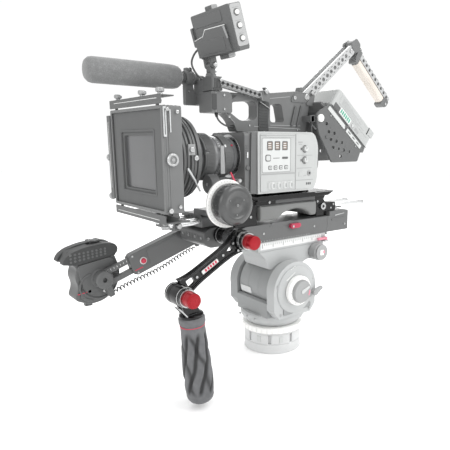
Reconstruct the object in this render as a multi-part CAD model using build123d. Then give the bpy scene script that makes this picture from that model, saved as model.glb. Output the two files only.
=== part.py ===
"""A shoulder-rigged cinema camera on a fluid head, as separate pieces.

Every function works in the camera datum, in millimetres: X = 0 is the centre plane with +X on the
operator's side, the lens points along -Y, and Z = 0 is at half the camera body's height. ROW_FRAME
then moves each piece to the frame of the part, whose origin is the centre of the head's flat base.
"""
from build123d import *
from math import atan2, cos, degrees, hypot, radians, sin, tan
import os

# ---------------------------------------------------------------- driving dimensions
PAN_Y = 93.0              # the pan axis, and the tilt axis above it
BASE_Z = -492.0           # underside of the head's flat base
TILT_Z = -318.0           # height of the tilt axis
ROW_FRAME = Pos(0, -PAN_Y, -BASE_Z)

BASE_R = 76.0             # flat base
THREAD_R = 3.97           # core radius of the 3/8 inch thread in the flat base
BASE_BOLT_R = 3.3         # holes of the flat base's bolt circle
BASE_BOLT_CIRCLE_R = 50.0
RUN = 0.05                # radial running clearance of every pivot

CHEEK_IN = 62.0           # the head's cheeks, from the centre plane
CHEEK_OUT = 95.0
CHEEK_R = 72.0
TRUNNION_R = 25.0
PLATFORM_Z = -218.0       # underside of the tilting platform
CHANNEL_X = 38.0          # half width of the platform's channel

BODY_X = 73.0             # half width of the camera body
BODY_Z = 71.25            # half height of the camera body
BODY_REAR = 182.0
WALL = 3.5

ROD_R = 7.5               # 15 mm support rods
ROD_X = 30.0              # 60 mm apart
ROD_Z = -126.0
FRONT_ROD = (-222.0, -6.0)
REAR_ROD = (206.0, 413.0)

LENS_Z = 15.0
LENS_R = 44.0
FOCUS_RING_R = 53.0
DRIVE_GEAR_R = 22.0
DRIVE_GEAR_X = 48.5
DRIVE_GEAR_Z = -42.8

HOOD_X = 120.0
HOOD_FRONT = -277.0
HOOD_REAR = -235.0
HOOD_LOW = -89.0
HOOD_HIGH = 115.5
WINDOW = 70.0             # half of the square filter window

WHEEL_Y = -132.0          # follow focus wheel
WHEEL_Z = -79.0

NEAR_ROOT = (-108.0, -157.0)      # pivots of the near handle, in Y and Z
NEAR_TIP = (-268.0, -245.0)
GRIP_TOP = (155.0, -249.0, -290.0)
GRIP_LEAN = 4.86
GRIP_LENGTH = 188.0
BUTTON_R = 15.5

FAR_ROOT = (-86.0, -168.0)        # pivot of the far arm
FAR_SLOPE = 18.5                  # how far the arm falls towards the front, in degrees
FAR_REACH = 262.0                 # from the pivot to the remote grip's swivel
FAR_X = -77.0                     # plane of the far arm

VIEW_HINGE = (-92.0, 213.0)
VIEW_LEAN = 17.0
MIC_X = -48.0
MIC_Z = 189.0
MIC_R = 26.0

REAR_PIVOT = (192.0, 160.0)       # cheese-plate handle at the rear
ELBOW = (378.0, 306.0)
REAR_END = (548.0, 163.0)
BRACKET_PIVOT = (200.0, 106.0)
BRACKET_TOP = (236.0, 142.0)
BRACKET_END = (372.0, 36.0)


# ---------------------------------------------------------------- building blocks
def block(x0, x1, y0, y1, z0, z1):
    """A box between two corners."""
    middle = Pos((x0 + x1) / 2, (y0 + y1) / 2, (z0 + z1) / 2)
    return middle * Box(x1 - x0, y1 - y0, z1 - z0)


def rod_x(radius, x0, x1, y, z):
    """A cylinder along X."""
    return Pos((x0 + x1) / 2, y, z) * Rot(0, 90, 0) * Cylinder(radius, x1 - x0)


def rod_y(radius, y0, y1, x, z):
    """A cylinder along Y."""
    return Pos(x, (y0 + y1) / 2, z) * Rot(90, 0, 0) * Cylinder(radius, y1 - y0)


def rod_z(radius, z0, z1, x, y):
    """A cylinder along Z."""
    return Pos(x, y, (z0 + z1) / 2) * Cylinder(radius, z1 - z0)


def side_plane(x):
    """The plane at x with Y to the right and Z up."""
    return Plane(origin=(x, 0, 0), x_dir=(0, 1, 0), z_dir=(1, 0, 0))


def side_plate(points, x0, x1):
    """A plate between x0 and x1 with its outline in Y and Z."""
    outline = make_face(Polyline(*points, close=True))
    return extrude(side_plane(x0) * outline, x1 - x0)


def link(start, end, width, x0, x1):
    """A flat bar with round ends between two pivots given in Y and Z."""
    run_y = end[0] - start[0]
    run_z = end[1] - start[1]
    middle = Pos((x0 + x1) / 2, (start[0] + end[0]) / 2, (start[1] + end[1]) / 2)
    turn = Rot(degrees(atan2(run_z, run_y)), 0, 0)
    bar = middle * turn * Box(x1 - x0, hypot(run_y, run_z), width)
    return bar + rod_x(width / 2, x0, x1, *start) + rod_x(width / 2, x0, x1, *end)


def along(start, end, distance):
    """The point at a distance from start towards end, in Y and Z."""
    length = hypot(end[0] - start[0], end[1] - start[1])
    share = distance / length
    return (start[0] + share * (end[0] - start[0]), start[1] + share * (end[1] - start[1]))


def rod_holes(y0, y1):
    """The clearance bores for the two support rods."""
    return rod_y(ROD_R + RUN, y0, y1, ROD_X, ROD_Z) + rod_y(ROD_R + RUN, y0, y1, -ROD_X, ROD_Z)


# ---------------------------------------------------------------- fluid head
def flat_base():
    """Levelling base that bolts to a tripod, with the pan spindle on top."""
    drum = rod_z(BASE_R, BASE_Z, -436, 0, PAN_Y)
    neck = rod_z(60, -436, -420, 0, PAN_Y)
    spindle = rod_z(20, -420, -396, 0, PAN_Y)
    pockets = Pos(0, PAN_Y, -452) * PolarLocations(BASE_R, 8) * Box(8, 16, 20)
    thread = rod_z(THREAD_R, BASE_Z, -474, 0, PAN_Y)
    bolts = Pos(0, PAN_Y, BASE_Z + 6) * PolarLocations(BASE_BOLT_CIRCLE_R, 4) * Cylinder(BASE_BOLT_R, 12)
    return drum + neck + spindle - pockets - thread - bolts


def pan_lock_ring():
    """Notched ring that clamps the pan."""
    ring = rod_z(82, -435.8, -420.4, 0, PAN_Y) - rod_z(60 + RUN, -436, -420, 0, PAN_Y)
    notches = Pos(0, PAN_Y, -428) * PolarLocations(82, 48) * Box(3, 4, 16)
    return ring - notches


def cheek(side):
    """One of the two upright cheeks that carry the tilt trunnions."""
    x0, x1 = sorted((side * CHEEK_IN, side * CHEEK_OUT))
    low = -388.0
    outline = [(PAN_Y - CHEEK_R, TILT_Z), (PAN_Y - CHEEK_R, low + 22), (PAN_Y - 52, low),
               (PAN_Y + 52, low), (PAN_Y + CHEEK_R, low + 22), (PAN_Y + CHEEK_R, TILT_Z)]
    return side_plate(outline, x0, x1) + rod_x(CHEEK_R, x0, x1, PAN_Y, TILT_Z)


def head_housing():
    """Turning housing of the head: a round pan drum and two cheeks."""
    drum = rod_z(86, -404, -387, 0, PAN_Y)
    skirt = Pos(0, PAN_Y, -412) * Cone(70, 86, 16)
    cradle = block(-CHEEK_IN, CHEEK_IN, PAN_Y - CHEEK_R, PAN_Y + CHEEK_R, -390, -348)
    cradle -= rod_x(66.6, -CHEEK_IN, CHEEK_IN, PAN_Y, TILT_Z)
    shape = drum + skirt + cradle + cheek(1) + cheek(-1)
    trunnions = rod_x(TRUNNION_R + RUN, -90.1, 90.1, PAN_Y, TILT_Z)
    dial_bores = rod_x(8 + RUN, -CHEEK_OUT, CHEEK_OUT, PAN_Y, TILT_Z)
    lever_bore = rod_x(4 + RUN, 84, CHEEK_OUT, 152, -334)
    spindle = rod_z(20 + RUN, -420, -395, 0, PAN_Y)
    return shape - trunnions - dial_bores - lever_bore - spindle


def tilt_platform():
    """Tilting core on its trunnions, with the camera platform and the pan bar rosettes."""
    core = rod_x(66, -61.8, 61.8, PAN_Y, TILT_Z) - rod_x(54, -50, 50, PAN_Y, TILT_Z)
    core += rod_x(TRUNNION_R, -90, 90, PAN_Y, TILT_Z)
    core += block(-48, 48, 40, 150, TILT_Z + 50, PLATFORM_Z)
    deck = block(-50, 50, 5, 240, PLATFORM_Z, -204)
    rails = block(CHANNEL_X, 50, 5, 240, -204, -194) + block(-50, -CHANNEL_X, 5, 240, -204, -194)
    lug = block(-50, 50, 180, 222, -240, PLATFORM_Z)
    rosettes = rod_x(23, -78, 78, 200, -240)
    ear = block(50, 63, 226, 240, -217, -212.2) + rod_z(2.5, -212.2, -203, 57, 233)
    return core + deck + rails + lug + rosettes + ear


def tilt_drag_dial():
    """Dial that sets the tilt drag, on the near cheek."""
    stub = rod_x(8, 90.2, 95.2, PAN_Y, TILT_Z)
    return stub + rod_x(38, 95.2, 110, PAN_Y, TILT_Z) + rod_x(29, 110, 120, PAN_Y, TILT_Z)


def counterbalance_dial():
    """Dial that sets the counterbalance, on the far cheek."""
    return rod_x(8, -95.2, -90.2, PAN_Y, TILT_Z) + rod_x(46, -112, -95.2, PAN_Y, TILT_Z)


def tilt_lock_lever():
    """Short lever behind the drag dial."""
    hub = rod_x(9, 95.2, 107, 152, -334) + rod_x(4, 85, 95.2, 152, -334)
    return hub + link((152, -334), (173, -325), 9, 99, 107)


def platform_lock_lever():
    """Lever that clamps the sliding plate in the platform."""
    hub = rod_z(6, -212, -204, 57, 233) + block(53, 61, 205, 229, -211, -205)
    return hub - rod_z(2.5 + RUN, -212, -204, 57, 233)


# ---------------------------------------------------------------- shoulder base
def tripod_adapter_plate():
    """Quick-release plate that slides in the platform's channel."""
    plate = block(-50, 50, -68, 330, -193.9, -150)
    step = block(-50, 50, 255, 330, -150, -138)
    foot = block(-CHANNEL_X + RUN, CHANNEL_X - RUN, -20, 260, -203.9, -193.9)
    hollows = block(-44, 44, -62, -26, -193.9, -158) + block(-44, 44, 266, 324, -193.9, -146)
    pin = rod_x(3, 50, 61, 112, -162)
    return plate + step + foot - hollows + pin


def adapter_release_lever():
    """Red lever that frees the shoulder base from the adapter plate."""
    lever = rod_x(7, 50.2, 60, 112, -162) + block(50.2, 58, 112, 142, -167, -157)
    return lever - rod_x(3 + RUN, 50, 61, 112, -162)


def base_plate():
    """Shoulder base: the long top plate, the camera dovetail and the front wedge with rod bores."""
    top = block(-60, 60, -3, 255, -91, -79) + block(-50, 50, 0, 230, -102, -91)
    wedge = block(-45, 45, -60, 5, -150, -91)
    dovetail = block(-35, 35, 10, 190, -79, -BODY_Z)
    return top + wedge + dovetail - rod_holes(-60, -5)


def rear_rod_block():
    """Rear foot of the shoulder base, which clamps the rear rods."""
    body = block(-42, 42, 205, 285, -138, -102) + block(-38, 38, 215, 252, -150, -138)
    return body - rod_holes(205, 285)


def support_rods():
    """Two front and two rear rods."""
    rods = []
    for x in (-ROD_X, ROD_X):
        for y0, y1 in (FRONT_ROD, REAR_ROD):
            rods.append(rod_y(ROD_R, y0, y1, x, ROD_Z))
    return Compound(rods)


def shoulder_pad():
    """Soft saddle that rests on the shoulder, arched underneath."""
    top = -102.3
    foot = -141.0
    sides = Polyline((70, foot), (9, foot), (9, top), (199, top), (199, foot), (177, foot))
    arch = ThreePointArc((177, foot), (123, -118), (70, foot))
    return extrude(side_plane(-55) * make_face([sides, arch]), 110)


# ---------------------------------------------------------------- handles in front
def handle_bracket():
    """Clamp under the front rods that carries both handles."""
    clamp = block(-48, 48, -108, -70, -142, -110) - rod_holes(-110, -68)
    body = block(-52, 52, -150, -70, -186, -142)
    near = rod_x(18, 52, 92, *NEAR_ROOT) + rod_x(22, 92, 104, *NEAR_ROOT)
    far = rod_x(20, -66, -52, *FAR_ROOT)
    pivots = rod_x(6 + RUN, 79, 104, *NEAR_ROOT) + rod_x(6 + RUN, -66, -50, *FAR_ROOT)
    return clamp + body + near + far - pivots


def button_ring(x, place):
    """Collar that guides a push button."""
    return rod_x(19, x, x + 10, *place) - rod_x(BUTTON_R + RUN, x, x + 10, *place)


def near_arm():
    """Arm between the bracket's rosette and the near grip."""
    arm = rod_x(22, 104.1, 150, *NEAR_ROOT) + link(NEAR_ROOT, NEAR_TIP, 28, 122, 140)
    arm += rod_x(21, 116, 140, *NEAR_TIP)
    arm -= rod_x(6 + RUN, 116, 140, *NEAR_TIP)
    return arm + rod_x(6, 80, 104.1, *NEAR_ROOT) + button_ring(150, NEAR_ROOT)


def near_arm_button():
    """Push button that frees the near arm's rosette."""
    return rod_x(BUTTON_R, 156, 184, *NEAR_ROOT)


def grip_link():
    """Knuckle, post and core tube of the near grip."""
    knuckle = rod_x(21, 140.1, 168, *NEAR_TIP) + rod_x(6, 118, 140.1, *NEAR_TIP)
    post = link(NEAR_TIP, (-252, -280), 34, 143, 167)
    tube = Pos(*GRIP_TOP) * Rot(GRIP_LEAN, 0, 0) * Pos(0, 0, -75) * Cylinder(12, 160)
    return knuckle + post + tube + button_ring(168, NEAR_TIP) - grip_space()


def grip_space():
    """The space that the rubber takes around the core tube."""
    sleeve = Pos(0, 0, -GRIP_LENGTH / 2) * (Cylinder(40, GRIP_LENGTH) - Cylinder(12, GRIP_LENGTH))
    return Pos(*GRIP_TOP) * Rot(GRIP_LEAN, 0, 0) * sleeve


def rubber_grip():
    """Tapered rubber grip on the core tube."""
    profile = [(12, 0), (25.5, 0), (27, -4), (26.5, -14), (24.5, -18), (28, -62), (31, -120),
               (30, -162), (26, -182), (20, -188), (0, -188), (0, -155), (12, -155)]
    shape = revolve(Plane.XZ * make_face(Polyline(*profile, close=True)), Axis.Z)
    return Pos(*GRIP_TOP) * Rot(GRIP_LEAN, 0, 0) * shape


def grip_button():
    """Push button that frees the grip's knuckle."""
    return rod_x(BUTTON_R, 174, 202, *NEAR_TIP)


# ---------------------------------------------------------------- far arm and remote grip
def far_point(distance, offset=0.0):
    """A point of the far arm's plane, by distance along the arm and offset above it."""
    slope = radians(FAR_SLOPE)
    y = FAR_ROOT[0] - distance * cos(slope) - offset * sin(slope)
    z = FAR_ROOT[1] - distance * sin(slope) + offset * cos(slope)
    return (y, z)


def far_bar(x0, x1, near, far, low, high):
    """A box in the far arm's own directions: across, along and above."""
    middle = far_point((near + far) / 2, (low + high) / 2)
    turn = Rot(FAR_SLOPE, 0, 0)
    return Pos((x0 + x1) / 2, *middle) * turn * Box(x1 - x0, far - near, high - low)


def far_arm():
    """Outer housing of the telescopic arm."""
    arm = rod_x(20, -88, -66.1, *FAR_ROOT) + far_bar(-88, -66.1, 8, 195, -26, 26)
    for side in (-1, 1):
        low, high = sorted((side * 6.95, side * 19.05))
        arm -= far_bar(FAR_X - 6.05, FAR_X + 6.05, 30, 195, low, high)
    arm -= rod_x(6 + RUN, -75, -66, *far_point(165))
    gland = far_bar(-84, -70, 8, 24, -42, -24)
    return arm + gland + rod_x(6, -66.1, -51, *FAR_ROOT)


def far_arm_slide():
    """Twin bars that telescope out of the far arm, with the swivel yoke."""
    slide = far_bar(FAR_X - 6, FAR_X + 6, 70, 252, 7, 19) + far_bar(FAR_X - 6, FAR_X + 6, 70, 252, -19, -7)
    slide += rod_x(20, -88, -66.1, *far_point(FAR_REACH))
    slide += far_bar(-84, -70, 252, 266, -44, -10)
    return slide - rod_x(5 + RUN, -88, -72, *far_point(FAR_REACH))


def extension_lock_button():
    """Push button on the far arm that frees the telescopic bars."""
    return rod_x(6, -73, -60, *far_point(165))


def remote_grip():
    """Body of the remote hand grip, with finger grooves in front."""
    outline = [(-392, -214), (-300, -199), (-288, -235), (-291, -262), (-304, -288), (-330, -305),
               (-362, -309), (-394, -294), (-384, -267), (-391, -243), (-385, -224)]
    body = side_plate(outline, -148, -94)
    boss = rod_x(16, -94, -88.1, *far_point(FAR_REACH)) + rod_x(5, -88.1, -73, *far_point(FAR_REACH))
    tab = block(-128, -114, -366, -350, -318, -306)
    return body + boss + tab + remote_hood() - rod_x(5 + RUN, -100, -94, -362, -277)


def remote_hood():
    """Palm rest on top of the remote grip, with the seat of the zoom rocker."""
    outline = [(-392, -214), (-416, -209), (-402, -187), (-362, -175), (-305, -173), (-292, -186),
               (-296, -199), (-300, -199)]
    seat = block(-130, -112, -346, -324, -186, -170)
    return side_plate(outline, -154, -88.4) - seat - rod_y(1.5 + RUN, -351, -319, -121, -180)


def remote_rocker():
    """Zoom rocker on its pin."""
    paddle = block(-134, -108, -350, -320, -171, -166)
    stem = block(-125, -117, -343, -327, -182, -171)
    return paddle + stem + rod_y(1.5, -350, -320, -121, -180)


def remote_record_button():
    """Record button on the side of the remote grip."""
    return rod_x(5, -98, -90.5, -362, -277)


# ---------------------------------------------------------------- camera body
def shell_outline(inset):
    """Side outline of the camera body, with rounded corners at the rear."""
    points = [(inset, -BODY_Z + inset), (168 - inset, -BODY_Z + inset), (179 - inset, -45),
              (BODY_REAR - inset, 40), (BODY_REAR - inset - 14, BODY_Z - inset), (inset, BODY_Z - inset)]
    face = make_face(Polyline(*points, close=True))
    rear = [v for v in face.vertices() if v.X > 140]
    return fillet(rear, 9)


def main_shell():
    """Hollow camera body, with the fan's pin inside its far wall."""
    outer = extrude(side_plane(-BODY_X) * shell_outline(0), 2 * BODY_X)
    inner = extrude(side_plane(-BODY_X + WALL) * shell_outline(WALL), 2 * (BODY_X - WALL))
    opening = block(-58, 58, 0, WALL + 1, -60, 60)
    pin = rod_x(3, -BODY_X + WALL, -44, 110, -20)
    bores = rod_x(2 + RUN, 60, BODY_X, 132, 31) + rod_x(2 + RUN, 60, BODY_X, 132, 4)
    return outer - inner - opening + pin - bores


def front_housing():
    """Dark front of the camera with the lens throat."""
    outer = block(-66, 66, -46, 0, -69, 69)
    inner = block(-61, 61, -41, 0, -64, 64)
    return outer - inner - rod_y(31, -46, -40, 0, LENS_Z)


def control_panel():
    """Operator-side control panel."""
    panel = block(BODY_X, BODY_X + 3, 6, 162, -66, 66)
    return panel - rod_x(2 + RUN, BODY_X, BODY_X + 3, 132, 31) - rod_x(2 + RUN, BODY_X, BODY_X + 3, 132, 4)


def audio_dial(z):
    """Audio level dial on its spindle."""
    return rod_x(6.5, 76.1, 83, 132, z) + rod_x(2, 66, 76.1, 132, z)


def sensor_board():
    """Image sensor on its carrier, on four posts behind the throat."""
    board = block(-34, 34, -34, -31, LENS_Z - 34, LENS_Z + 34)
    chip = block(-18, 18, -35, -34, LENS_Z - 10, LENS_Z + 10)
    posts = Pos(0, -37.5, LENS_Z) * Rot(90, 0, 0) * GridLocations(60, 60, 2, 2) * Cylinder(3, 7)
    return board + chip + posts


def cooling_fan():
    """Fan wheel on the pin inside the body."""
    hub = rod_x(9, -60, -50, 110, -20)
    blade = Rot(35, 0, 0) * Box(15, 1.5, 8)
    blades = Pos(-55, 110, -20) * Rot(0, 90, 0) * PolarLocations(16, 7) * blade
    return hub + blades - rod_x(3 + RUN, -61, -49, 110, -20)


# ---------------------------------------------------------------- lens and follow focus
def lens_barrel():
    """Lens tube with its front flange and mount."""
    tube = rod_y(LENS_R, -150, -50, 0, LENS_Z) + rod_y(52, -162, -150, 0, LENS_Z)
    return tube + rod_y(40, -50, -46, 0, LENS_Z) - rod_y(34, -162, -46, 0, LENS_Z)


def lens_elements():
    """Front, middle and rear glass."""
    spans = ((-158, -149), (-108, -100), (-60, -54))
    return Compound([rod_y(34, y0, y1, 0, LENS_Z) for y0, y1 in spans])


def focus_ring():
    """Geared focus ring."""
    return rod_y(FOCUS_RING_R, -140, -112, 0, LENS_Z) - rod_y(LENS_R + RUN, -140, -112, 0, LENS_Z)


def iris_ring():
    """Iris ring near the mount."""
    return rod_y(49.5, -86, -66, 0, LENS_Z) - rod_y(LENS_R + RUN, -86, -66, 0, LENS_Z)


def follow_focus_body():
    """Rod clamp and gearbox of the follow focus."""
    clamp = block(-45, 45, -150, -113, -139, -110) - rod_holes(-150, -113)
    deck = block(10, 104, -150, -105, -110, -98)
    gearbox = block(64, 104, -150, -114, -98, -66)
    arm = block(40, 57, -113, -105, -98, -36)
    pin = rod_y(4, -137, -113, DRIVE_GEAR_X, DRIVE_GEAR_Z)
    return clamp + deck + gearbox + arm + pin - rod_x(6 + RUN, 78, 104, WHEEL_Y, WHEEL_Z)


def focus_drive_gear():
    """Gear that meets the focus ring."""
    gear = rod_y(DRIVE_GEAR_R, -136, -115, DRIVE_GEAR_X, DRIVE_GEAR_Z)
    return gear - rod_y(4 + RUN, -137, -113, DRIVE_GEAR_X, DRIVE_GEAR_Z)


def focus_wheel():
    """Hand wheel with its marking disc and axle."""
    axle = rod_x(6, 79, 112, WHEEL_Y, WHEEL_Z)
    return axle + rod_x(51, 112, 120, WHEEL_Y, WHEEL_Z) + rod_x(43, 120, 156, WHEEL_Y, WHEEL_Z)


# ---------------------------------------------------------------- matte box
def hinge_pair(width, reach):
    """Two hinge pins on stalks above a face at height zero, with the hinge along X."""
    hinge = []
    for side in (-1, 1):
        x = side * width
        hinge.append(block(x - 3, x + 3, -2.5, 2.5, 0, reach))
        hinge.append(rod_x(2.5, x - 9, x + 9, 0, reach))
    return hinge


def flag_plate(half, width, reach, depth):
    """A flag folded back over its face: a sheet on two pairs of hinge knuckles."""
    flag = block(-half, half, -5, depth, reach + 8, reach + 10.5)
    for side in (-1, 1):
        for step in (-6.5, 6.5):
            x = side * width + step
            knuckle = rod_x(5, x - 2.4, x + 2.4, 0, reach) + block(x - 2.4, x + 2.4, -4, 4, reach, reach + 8)
            flag += knuckle - rod_x(2.5 + RUN, x - 3, x + 3, 0, reach)
    return flag


TOP_HINGE = Pos(0, -272, HOOD_HIGH)
BOTTOM_HINGE = Pos(0, -272, HOOD_LOW) * Rot(0, 180, 0)
SIDE_HINGE = Pos(-HOOD_X, -272, (HOOD_LOW + HOOD_HIGH) / 2) * Rot(0, -90, 0)


def matte_box_hood():
    """Open box in front of the filters, with flag hinges on three sides."""
    outer = block(-HOOD_X, HOOD_X, HOOD_FRONT, HOOD_REAR, HOOD_LOW, HOOD_HIGH)
    inner = block(-HOOD_X + 3, HOOD_X - 3, HOOD_FRONT, HOOD_REAR - 3, HOOD_LOW + 3, HOOD_HIGH - 3)
    window = block(-WINDOW, WINDOW, HOOD_REAR - 3, HOOD_REAR, LENS_Z - WINDOW, LENS_Z + WINDOW)
    hood = outer - inner - window
    for place, width in ((TOP_HINGE, 95), (BOTTOM_HINGE, 95), (SIDE_HINGE, 78)):
        for piece in hinge_pair(width, 9):
            hood += place * piece
    return hood


def filter_stage():
    """Filter holder with its round rear clamp and the bracket on the front rods."""
    frame = block(-88, 88, HOOD_REAR, -222, LENS_Z - 78, LENS_Z + 78)
    window = block(-WINDOW, WINDOW, HOOD_REAR, -222, LENS_Z - WINDOW, LENS_Z + WINDOW)
    drum = rod_y(88, -222, -170, 0, LENS_Z) - rod_y(74, -222, -206, 0, LENS_Z)
    ring = rod_y(78, -170, -163, 0, LENS_Z)
    throat = rod_y(56, -206, -163, 0, LENS_Z)
    bracket = block(-45, 45, -218, -203, -139, -60) - rod_holes(-218, -203)
    return frame - window + (drum + ring - throat) + bracket


def top_flag():
    """Flag over the top of the hood."""
    return TOP_HINGE * flag_plate(118, 95, 9, 50)


def bottom_flag():
    """Flag under the hood."""
    return BOTTOM_HINGE * flag_plate(118, 95, 9, 50)


def side_flag():
    """Flag on the far side of the hood."""
    return SIDE_HINGE * flag_plate(92, 78, 9, 50)


# ---------------------------------------------------------------- top handle and what it carries
def top_handle():
    """Handle with two openings, the front block, and the pivots at the rear."""
    outline = [(-30, BODY_Z), (188, BODY_Z), (196, 112), (204, 160), (196, 170), (150, 172), (40, 160),
               (-20, 158), (-105, 158.5), (-105, 112), (-62, 112), (-44, 99)]
    front_gap = [(-54, 117), (-43, 138), (16, 143), (29, 136), (29, 104), (14, 98), (-20, 96)]
    rear_gap = [(70, 95), (70, 138), (106, 139), (116, 95)]
    handle = side_plate(outline, -17, 17)
    handle -= side_plate(front_gap, -17, 17)
    handle -= side_plate(rear_gap, -17, 17)
    handle += block(-26, 26, -105, -50, 112, 158.5)
    for side in (-1, 1):
        x0, x1 = sorted((side * 10, side * 18))
        handle -= block(x0, x1, 168, 216, 138, 186)
        x0, x1 = sorted((side * 41, side * 49.9))
        handle += block(x0, x1, 178, 200, 98, 114) + rod_x(8, x0, x1, *BRACKET_PIVOT)
    handle += block(-49.9, 49.9, 176, 190, 98, 112)
    return handle - rod_x(5 + RUN, -11, 11, *REAR_PIVOT) - rod_x(4 + RUN, -50, 50, *BRACKET_PIVOT)


def viewfinder_rail():
    """Sloping rail on the handle, with the block that holds the viewfinder post."""
    rail = link((-90, 177), (40, 153), 15, 17, 31)
    for step in range(9):
        rail -= rod_x(2.6, 16, 32, *along((-90, 177), (40, 153), 12 + 13 * step))
    seat = block(-10, 31, -106, -78, 158.8, 188)
    return rail + seat - rod_z(5 + RUN, 168, 188, 6, -92)


def viewfinder_post():
    """Swivelling post under the viewfinder."""
    post = rod_z(13, 188.1, 196, 6, -92) + rod_z(5, 169, 188.1, 6, -92)
    post += block(-2, 14, -99, -85, 196, 213) + rod_x(9, -2, 14, *VIEW_HINGE)
    return post - rod_x(3 + RUN, -3, 15, *VIEW_HINGE)


def viewfinder():
    """Folding viewfinder monitor on its hinge ears."""
    body = Box(140, 30, 88, align=(Align.CENTER, Align.MIN, Align.MIN))
    body = Pos(60, -106, 225) * Rot(VIEW_LEAN, 0, 0) * body
    ears = rod_x(3, -10, 22, *VIEW_HINGE)
    for x0, x1 in ((-10, -2.1), (14.1, 22)):
        ears += link(VIEW_HINGE, (-96, 232), 14, x0, x1)
    return body + ears


def shotgun_microphone():
    """Microphone tube in its foam windshield."""
    foam = rod_y(MIC_R, -354, -142, MIC_X, MIC_Z)
    ends = foam.edges().filter_by(GeomType.CIRCLE)
    return fillet(ends, 9) + rod_y(11, -143, -92, MIC_X, MIC_Z)


def mic_holder():
    """Ring and foot that hold the microphone beside the handle."""
    holder = rod_y(16, -130, -108, MIC_X, MIC_Z) + block(-54, -42, -130, -86, 130, 176)
    holder += block(-54, -26, -104, -86, 130, 150)
    return holder - rod_y(11, -131, -86, MIC_X, MIC_Z)


# ---------------------------------------------------------------- rear handle and battery
def lower_cheese_arm():
    """Pair of drilled plates from the handle to the elbow."""
    arm = rod_x(5, -10.1, 10.1, *REAR_PIVOT) + rod_x(5, -10.1, 10.1, *ELBOW)
    for distance in (55, 110, 165):
        arm += rod_x(5, -10.1, 10.1, *along(REAR_PIVOT, ELBOW, distance))
    for x0, x1 in ((-16.1, -10.1), (10.1, 16.1)):
        plate = link(REAR_PIVOT, ELBOW, 30, x0, x1)
        for step in range(11):
            plate -= rod_x(3.3, x0, x1, *along(REAR_PIVOT, ELBOW, 24 + 18 * step))
        arm += plate
    return arm


def rear_offset(distance, offset):
    """A point beside the upper arm: distance from the elbow, offset away from the grip side."""
    run_y = REAR_END[0] - ELBOW[0]
    run_z = REAR_END[1] - ELBOW[1]
    length = hypot(run_y, run_z)
    y = ELBOW[0] + (distance * run_y - offset * run_z) / length
    z = ELBOW[1] + (distance * run_z + offset * run_y) / length
    return (y, z)


def upper_cheese_arm():
    """Drilled bar from the elbow to the end cap."""
    bar = rod_x(14, -10, 10, *ELBOW) + link(rear_offset(8, 0), rear_offset(210, 0), 16, -10, 10)
    for step in range(10):
        bar -= rod_x(3.3, -10, 10, *rear_offset(36 + 18 * step, 0))
    bar += link(rear_offset(200, -5), rear_offset(200, -20), 24, -10, 10)
    bar += link(rear_offset(34, -5), rear_offset(34, -20), 12, -10, 10)
    return bar - rod_x(5 + RUN, -11, 11, *ELBOW)


def wooden_grip():
    """Wooden hand grip along the upper arm."""
    angle = degrees(atan2(REAR_END[1] - ELBOW[1], REAR_END[0] - ELBOW[0]))
    grip = Pos(0, *rear_offset(114, -19)) * Rot(angle, 0, 0) * Box(26, 147.8, 21)
    return fillet(grip.edges().filter_by(lambda e: e.length > 100), 8)


def plate_box(x0, x1, start, end, low, high):
    """A box in the battery plate's own directions: across, down the plate and out of it."""
    angle = atan2(BRACKET_END[1] - BRACKET_TOP[1], BRACKET_END[0] - BRACKET_TOP[0])
    s = (start + end) / 2
    n = (low + high) / 2
    y = BRACKET_TOP[0] + s * cos(angle) - n * sin(angle)
    z = BRACKET_TOP[1] + s * sin(angle) + n * cos(angle)
    return Pos((x0 + x1) / 2, y, z) * Rot(degrees(angle), 0, 0) * Box(x1 - x0, end - start, high - low)


def battery_bracket():
    """Pair of perforated cheeks with the battery plate between them."""
    outline = [(191, 116), (206, 128), BRACKET_TOP, BRACKET_END, (354, -6), (252, -6), (200, 72), (192, 98)]
    bracket = plate_box(-50.5, 50.5, 6, 192, -8, 0)
    for x0, x1 in ((-56, -50), (50, 56)):
        cheek_plate = side_plate(outline, x0, x1)
        for row in range(4):
            for step in range(4):
                place = (228 + 30 * step + 9 * row, 92 - 24 * step + 2 - 20 * row)
                if place[1] > 6:
                    cheek_plate -= rod_x(5, x0, x1, *place)
        bracket += cheek_plate
    pins = rod_x(4, 42, 50.5, *BRACKET_PIVOT) + rod_x(4, -50.5, -42, *BRACKET_PIVOT)
    return bracket + pins


def battery():
    """Slide-on battery pack."""
    pack = plate_box(-48, 48, 12, 196, 0.1, 63)
    return fillet(pack.edges().filter_by(Axis.X), 4)


# ---------------------------------------------------------------- cables
def cord(name, radius, points):
    """A round cord along straight runs joined by arcs as large as the runs allow."""
    radii = []
    for before, here, after in zip(points, points[1:], points[2:]):
        one = Vector(*here) - Vector(*before)
        two = Vector(*after) - Vector(*here)
        half = radians(one.get_angle(two)) / 2
        radii.append(0.45 * min(one.length, two.length) / tan(half))
    path = FilletPolyline(*points, radius=radii)
    section = Plane(origin=path @ 0, z_dir=path % 0) * Circle(radius)
    solid = sweep(section, path)
    expected = path.length * section.area
    print(name, "radii", [round(r) for r in radii], "length", round(path.length),
          "volume share", round(solid.volume / expected, 3))
    return solid


def viewfinder_cable():
    """Short loop from the viewfinder to its rail."""
    points = [(-10.2, -101, 252), (-27, -101, 252), (-39, -108, 239), (-38, -116, 220),
              (-30, -112, 202), (-24, -101, 187), (-10, -92, 178)]
    return cord("viewfinder_cable", 2.2, points)


def audio_cable():
    """Short cable from the handle's front block to its foot."""
    points = [(8, -82, 112), (8, -80, 100), (9, -68, 89), (9, -52, 83), (10, -35.7, 82)]
    return cord("audio_cable", 2.0, points)


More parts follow.
